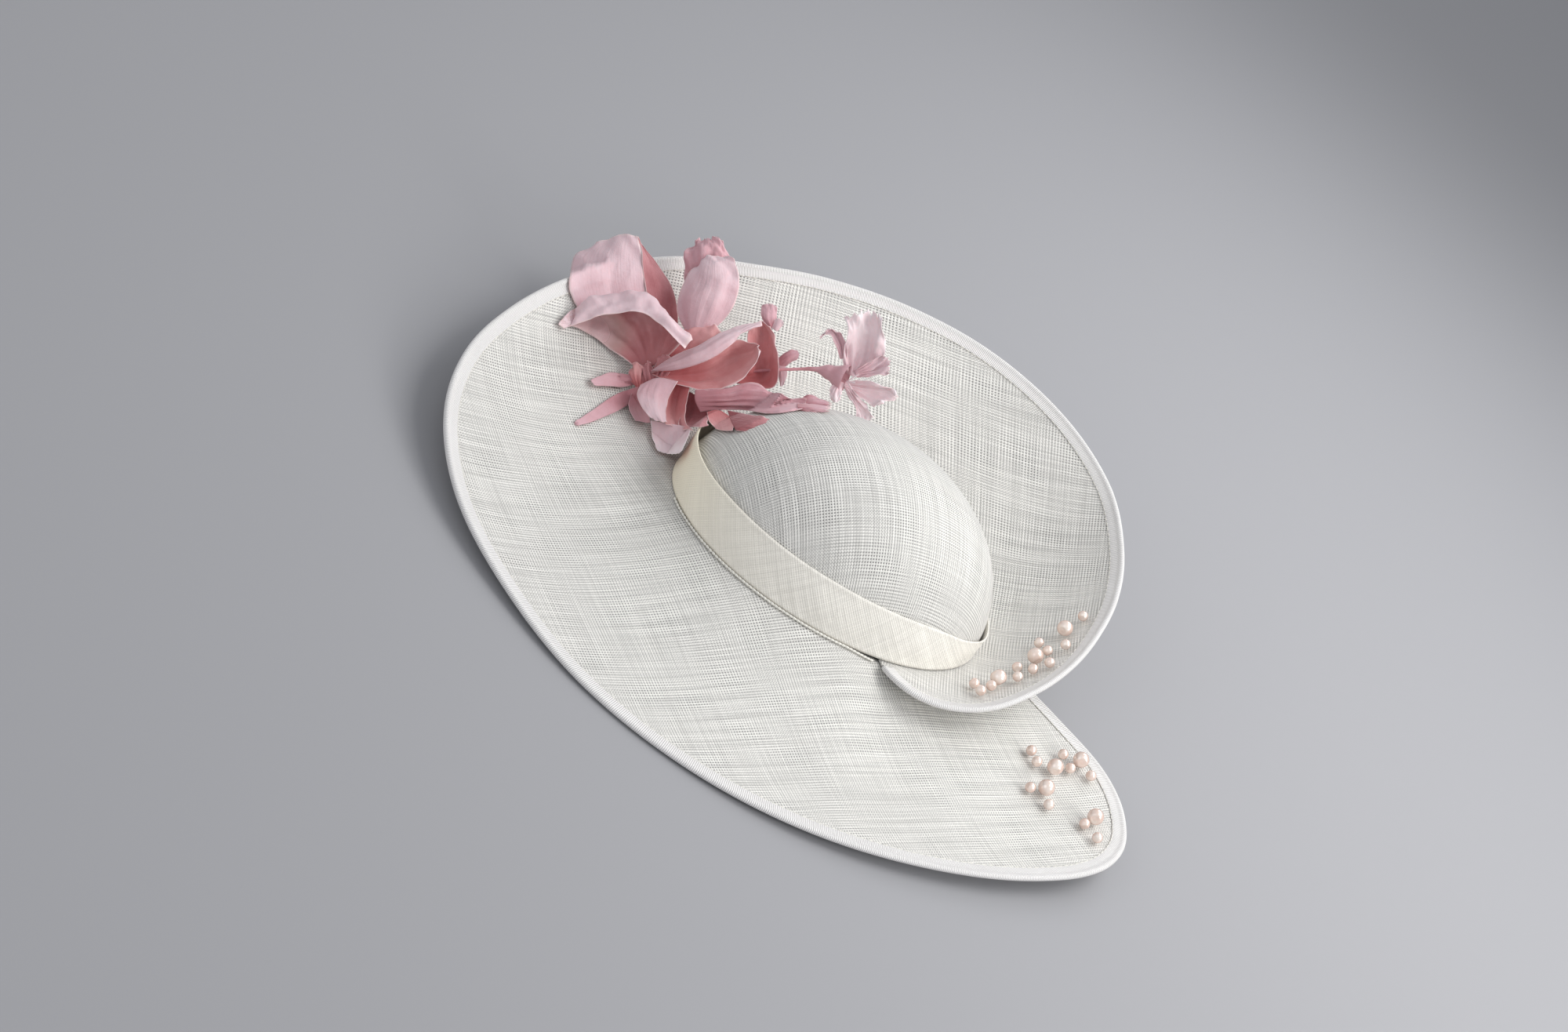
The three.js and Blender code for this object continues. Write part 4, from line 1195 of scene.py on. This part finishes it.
CUP_BACK = [
    [(13, 0, 8), (20, -4, 7), (29, -8, 12)],
    [(11, -8, 9), (18, -13, 8), (27, -16, 18)],
    [(9, -16, 16), (15, -20, 17), (25, -19, 24)],
    [(8, -20, 25), (14, -23, 26), (26, -20, 28)],
]
LONG_MAUVE = [
    [(18, 0, 18), (18, -6, 20), (21, -13, 20)],
    [(34, 1, 16), (33, -6, 22), (32, -12, 20)],
    [(49, 3, 12), (48, -5, 18), (47, -12, 18)],
    [(63, 0, 8), (63, -6, 14), (62, -14, 14)],
    [(74, -4, 6), (74, -8, 10), (73, -13, 10)],
    [(83, -7, 6), (83, -8, 7), (82, -11, 7)],
]
FRONT_PALE = [
    [(25, -13, 26), (32, -12, 26), (39, -16, 26)],
    [(26, -18, 28), (33, -18, 30), (41, -19, 28)],
    [(30, -23, 28), (35, -24, 29), (40, -24, 28)],
]
FRONT_DARK = [
    [(37, -12, 22), (39, -18, 24), (42, -24, 24)],
    [(53, -15, 20), (54, -20, 22), (54, -25, 22)],
    [(66, -17, 16), (66, -21, 18), (64, -25, 18)],
]
SQUARE_ENDED = [
    [(-8, -18, 24), (4, -20, 26), (16, -22, 24)],
    [(-7, -28, 24), (3, -30, 26), (13, -30, 24)],
    [(-4, -36, 22), (3, -38, 24), (9, -38, 22)],
]
UNDER_CUP = [
    [(-19, -1, 10), (-16, -3, 12), (-10, -6, 12)],
    [(-21, -10, 12), (-16, -13, 14), (-9, -15, 12)],
    [(-17, -18, 14), (-12, -19, 15), (-8, -20, 15)],
]
BEHIND_ROLL = [
    [(-9, 8, 2), (-6, 11, 3), (0, 11, 4)],
    [(0, 24, 0), (5, 22, 4), (12, 15, 8)],
    [(13, 37, -5), (18, 33, 0), (26, 23, 6)],
    [(23, 41, -8), (29, 38, -4), (36, 32, 2)],
]
CREASED_MIDDLE = [
    [(-13, 2, 10), (-9, 1, 11), (-4, 1, 11)],
    [(-14, 8, 8), (-10, 10, 11), (-5, 9, 8)],
    [(-12, 15, 6), (-10, 17, 8), (-7, 15, 6)],
]
CREASED_LEFT = [
    [(-17, 2, 9), (-15, 0, 10), (-12, -1, 10)],
    [(-21, 9, 8), (-17, 9, 11), (-12, 7, 9)],
    [(-19, 15, 6), (-16, 16, 9), (-12, 14, 7)],
]
CREASED_RIGHT = [
    [(-7, 3, 10), (-5, 2, 11), (-2, 2, 10)],
    [(-6, 12, 7), (-2, 12, 10), (3, 10, 9)],
    [(-2, 20, 4), (2, 20, 7), (7, 17, 6)],
]

# %% Make the large flower
large = [
    petal("tall_left_petal", TALL_LEFT, LILAC, SALMON, 0.9),
    petal("tall_left_fold", TALL_LEFT_FOLD, DEEP_ROSE, LILAC, 0.4),
    petal("tall_right_petal", TALL_RIGHT, LILAC, SALMON, 1.1),
    petal("tall_right_tip", TALL_RIGHT_TIP, MAUVE, SALMON, 2.0, 0.6, pleats=0.6),
    petal("wide_wavy_petal", WIDE_WAVY, SHEER_ROSE, LILAC, 1.5, fineness=(56, 64), pleats=0.9),
    petal("petal_behind_roll", BEHIND_ROLL, SALMON, MAUVE, 1.4),
    petal("creased_middle", CREASED_MIDDLE, DEEP_ROSE, SALMON, 1.8, pleats=0.8),
    petal("creased_left", CREASED_LEFT, SALMON, DEEP_ROSE, 1.8, pleats=0.8),
    petal("creased_right", CREASED_RIGHT, DEEP_ROSE, MAUVE, 1.8, pleats=0.8),
    petal("rolled_lilac_petal", ROLLED_LILAC, LILAC, SALMON, 0.6, fineness=(60, 20)),
    petal("salmon_throat", SALMON_THROAT, SALMON, LILAC, 0.7, fineness=(60, 30)),
    petal("dark_right_petal", DARK_RIGHT, SALMON, MAUVE, 0.7),
    petal("cup_lobe", CUP_LOBE, LILAC, SALMON, 0.7),
    petal("cup_throat", CUP_THROAT, SALMON, LILAC, 0.8),
    petal("cup_back", CUP_BACK, DEEP_ROSE, SALMON, 0.8),
    petal("long_mauve_petal", LONG_MAUVE, MAUVE, SALMON, 1.6, fineness=(64, 24), pleats=0.5),
    petal("front_pale_petal", FRONT_PALE, SALMON, MAUVE, 0.7),
    petal("front_dark_petal", FRONT_DARK, DEEP_ROSE, SALMON, 1.0, 0.6),
    petal("square_ended_petal", SQUARE_ENDED, BLUSH, SALMON, 0.9, 0.3),
    petal("petal_under_cup", UNDER_CUP, MAUVE, SALMON, 0.8),
]
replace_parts(large[0], "large_flower")
print(len(large), "large petals")

# %% [markdown]
# ## Leaves, small blossoms, trumpet and bud
#
# The small pieces use the same petal with fewer sections. Their stems are wires wrapped in
# silk. A stem is a grid rolled up along a curve, and it widens into the trumpet of the one open
# blossom, whose frilled petals are pinked at the ends.

# %% Roll a stem
def stem(name, route, radii, material, sides=10, steps=28, set_back=0):
    """Round stem through seen points, with a radius at each of them."""
    points = [seen(spot, set_back) for spot in route]

    def radius(at):
        place = at * (len(radii) - 1)
        index = min(int(place), len(radii) - 2)
        return radii[index] + (radii[index + 1] - radii[index]) * eased(place - index, 0, 1)

    def place(u, v):
        here = even_curve(points, u)
        ahead = (even_curve(points, min(u + 0.01, 1)) - even_curve(points, max(u - 0.01, 0))).normalized()
        side = ahead.cross(Vector((0.2, 0.1, 1))).normalized()
        angle = 2 * math.pi * v
        return here + (side * math.cos(angle) + ahead.cross(side) * math.sin(angle)) * radius(u)

    attributes = {"down": lambda u, v: 0.1 + 0.6 * u, "side": lambda u, v: 0.0}
    piece = sheet(name, steps, sides, place, lambda u, v: (60 * u, 12 * v), material,
                  closed=True, attributes=attributes)
    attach(piece, "root")
    return piece


# %% Sections of the small petals, from the heart too
LEAF_SHORT = [
    [(-10, 9, 6), (-10, 7, 7), (-10, 5, 6)],
    [(-21, 9, 8), (-21, 6, 10), (-23, 2, 8)],
    [(-32, 10, 10), (-33, 6, 12), (-33, 2, 10)],
    [(-42, 7, 10), (-43, 5, 11), (-41, 3, 10)],
]
LEAF_LONG = [
    [(-15, 2, 12), (-15, -1, 13), (-14, -4, 12)],
    [(-29, -3, 12), (-27, -7, 14), (-25, -11, 12)],
    [(-42, -12, 12), (-41, -15, 13), (-40, -18, 12)],
    [(-52, -18, 12), (-53, -20, 12), (-51, -21, 12)],
]
UPPER_DARK = [
    [(60, 37, 0), (63, 36, 1), (65, 35, 0)],
    [(57, 43, -1), (61, 42, 1), (66, 41, -1)],
    [(57, 50, -2), (62, 51, -1), (66, 49, -2)],
]
UPPER_PALE = [
    [(63, 36, 1), (65, 35, 2), (66, 34, 1)],
    [(65, 41, 1), (68, 40, 2), (69, 37, 1)],
    [(66, 42, 2), (69, 41, 2), (70, 39, 2)],
]
BUD_TOP = [
    [(66, 18, 0), (67, 15, 1), (68, 11, 0)],
    [(73, 23, 0), (73, 19, 2), (73, 15, 0)],
    [(78, 23, -1), (79, 21, 0), (78, 18, -1)],
]
BUD_HANGING = [
    [(66, 15, 0), (68, 14, 1), (71, 14, 0)],
    [(67, 8, 0), (69, 7, 1), (72, 9, 0)],
    [(68, 2, 1), (69, 2, 1), (70, 3, 1)],
]
FRAYED_END = [
    [(78, -8, 4), (78, -10, 5), (79, -12, 4)],
    [(85, -3, 4), (85, -8, 6), (85, -13, 4)],
    [(98, -8, 4), (99, -10, 5), (97, -13, 4)],
]
TRUMPET_PETALS = {
    "tall": [
        [(105, 10, 0), (110, 8, 4), (115, 7, 2)],
        [(105, 20, 4), (115, 18, 0), (126, 15, 4)],
        [(107, 33, 8), (118, 33, 3), (129, 27, 7)],
        [(107, 44, 10), (118, 48, 6), (128, 45, 9)],
    ],
    "right": [
        [(111, 11, 3), (112, 9, 4), (113, 7, 3)],
        [(123, 18, 6), (123, 12, 3), (122, 8, 5)],
        [(130, 20, 8), (133, 16, 6), (132, 10, 8)],
    ],
    "curled": [
        [(107, 17, 2), (105, 18, 3), (103, 18, 2)],
        [(107, 26, 5), (103, 27, 3), (100, 27, 6)],
        [(103, 33, 6), (98, 35, 4), (95, 32, 8)],
        [(97, 36, 8), (93, 33, 8), (90, 30, 9)],
    ],
    "lower_right": [
        [(106, 5, 3), (105, 3, 4), (105, 1, 3)],
        [(123, 5, 6), (122, -1, 3), (120, -8, 6)],
        [(138, -3, 8), (137, -5, 6), (127, -10, 8)],
    ],
    "bottom": [
        [(104, 4, 3), (105, 3, 4), (107, 4, 3)],
        [(111, -11, 5), (114, -11, 3), (118, -9, 5)],
        [(115, -19, 7), (118, -20, 5), (123, -17, 7)],
    ],
    "small": [
        [(102, 6, 4), (103, 5, 5), (105, 4, 4)],
        [(97, 0, 6), (100, -2, 8), (104, -1, 6)],
        [(98, -7, 7), (101, -8, 8), (103, -6, 8)],
    ],
}
TRUMPET_HORN = [(28, 8, 0), (55, 11, 6), (78, 12, 0), (88, 12, 0), (97, 10, 0), (106, 6, 2)]
UPPER_ROUTE = [(20, 12, 12), (45, 25, 4), (62, 36, 0)]
BUD_ROUTE = [(18, 10, 10), (45, 12, 4), (66, 16, 0)]
END_ROUTE = [(30, -4, 10), (55, -8, 8), (79, -10, 4)]

# %% Make the small pieces
BEHIND_ROSE = 18
TRUMPET_BACK = 12
SMALL = (26, 18)

short_leaf = petal("short_leaf", LEAF_SHORT, MAUVE, SALMON, 0.5, fineness=(36, 12))
petal("long_leaf", LEAF_LONG, MAUVE, SALMON, 0.5, fineness=(36, 12))
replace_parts(short_leaf, "narrow_leaves")

upper_stem = stem("upper_stem", UPPER_ROUTE, (0.9, 0.9, 1.6), DEEP_ROSE, set_back=BEHIND_ROSE)
petal("upper_dark_petal", UPPER_DARK, MAUVE, DEEP_ROSE, 1, 0.4, BEHIND_ROSE, SMALL)
petal("upper_pale_petal", UPPER_PALE, BLUSH, LILAC, 0.5, 0, BEHIND_ROSE, SMALL)
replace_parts(upper_stem, "upper_blossom")

bud_stem = stem("bud_stem", BUD_ROUTE, (0.9, 0.9, 1.4), DEEP_ROSE, set_back=BEHIND_ROSE)
petal("bud_top", BUD_TOP, MAUVE, DEEP_ROSE, 1, 0, BEHIND_ROSE, SMALL)
petal("bud_hanging", BUD_HANGING, LILAC, MAUVE, 0.6, 0, BEHIND_ROSE, SMALL)
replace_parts(bud_stem, "flower_bud")

end_stem = stem("lower_stem", END_ROUTE, (0.9, 0.9, 1.2), DEEP_ROSE)
petal("frayed_end", FRAYED_END, MAUVE, SALMON, 1, 1, 0, (36, 30))
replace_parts(end_stem, "lower_blossom")

horn = stem("trumpet_horn", TRUMPET_HORN, (0.9, 0.9, 0.9, 1.4, 4.6, 8.8), MAUVE, 24, 70, TRUMPET_BACK)
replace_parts(horn, "trumpet_blossom")
for name, sections in TRUMPET_PETALS.items():
    silk = LILAC if name in ("right", "curled") else BLUSH
    petal(f"trumpet_{name}_petal", sections, silk, LILAC, 1.4, 0.6, TRUMPET_BACK, fineness=(40, 36),
          pleats=0.6, free=True)

for count, tip in enumerate(((112, 4, 8), (110, 0, 9), (114, 9, 9))):
    stem(f"stamen_{count + 1}", [(105, 6, 2), (107, 5, 6), tip], (0.3, 0.3, 0.5), BLUSH, 8, 10, TRUMPET_BACK)
print(len(SILK_PIECES), "silk petals in all")

# %% [markdown]
# ## Cut sizes
#
# A maker cuts each piece flat before it is blocked, folded or pressed. Here the area is read off
# the finished sheet, with all that it was stretched. So the cut sizes are estimates, and no
# test of the modelling. A petal fills about three quarters of the rectangle it is cut from.
# Brim and crown are cut with waste, and the band is a plain strip. Their lengths are chosen.
# Bits narrower than a centimetre are left out.

# %% Say how each sheet was cut
NARROWEST = 0.0101


def say_cut(piece, length, filled):
    """Print a sheet's cut size from its length and the share of its rectangle that it fills."""
    area = sum(polygon.area for polygon in piece.data.polygons) / 2
    width = area / (filled * length)
    if min(width, length) < NARROWEST:
        return
    print(f"{piece.name}: cut {width * 1000:.0f} x {length * 1000:.0f} mm, {area * 10000:.0f} square cm")


say_cut(brim, 0.62, 0.6)
say_cut(crown, 0.29, 0.75)
say_cut(band, 0.62, 0.98)
for piece, size in SILK_PIECES:
    say_cut(piece, size * MM, 0.75)
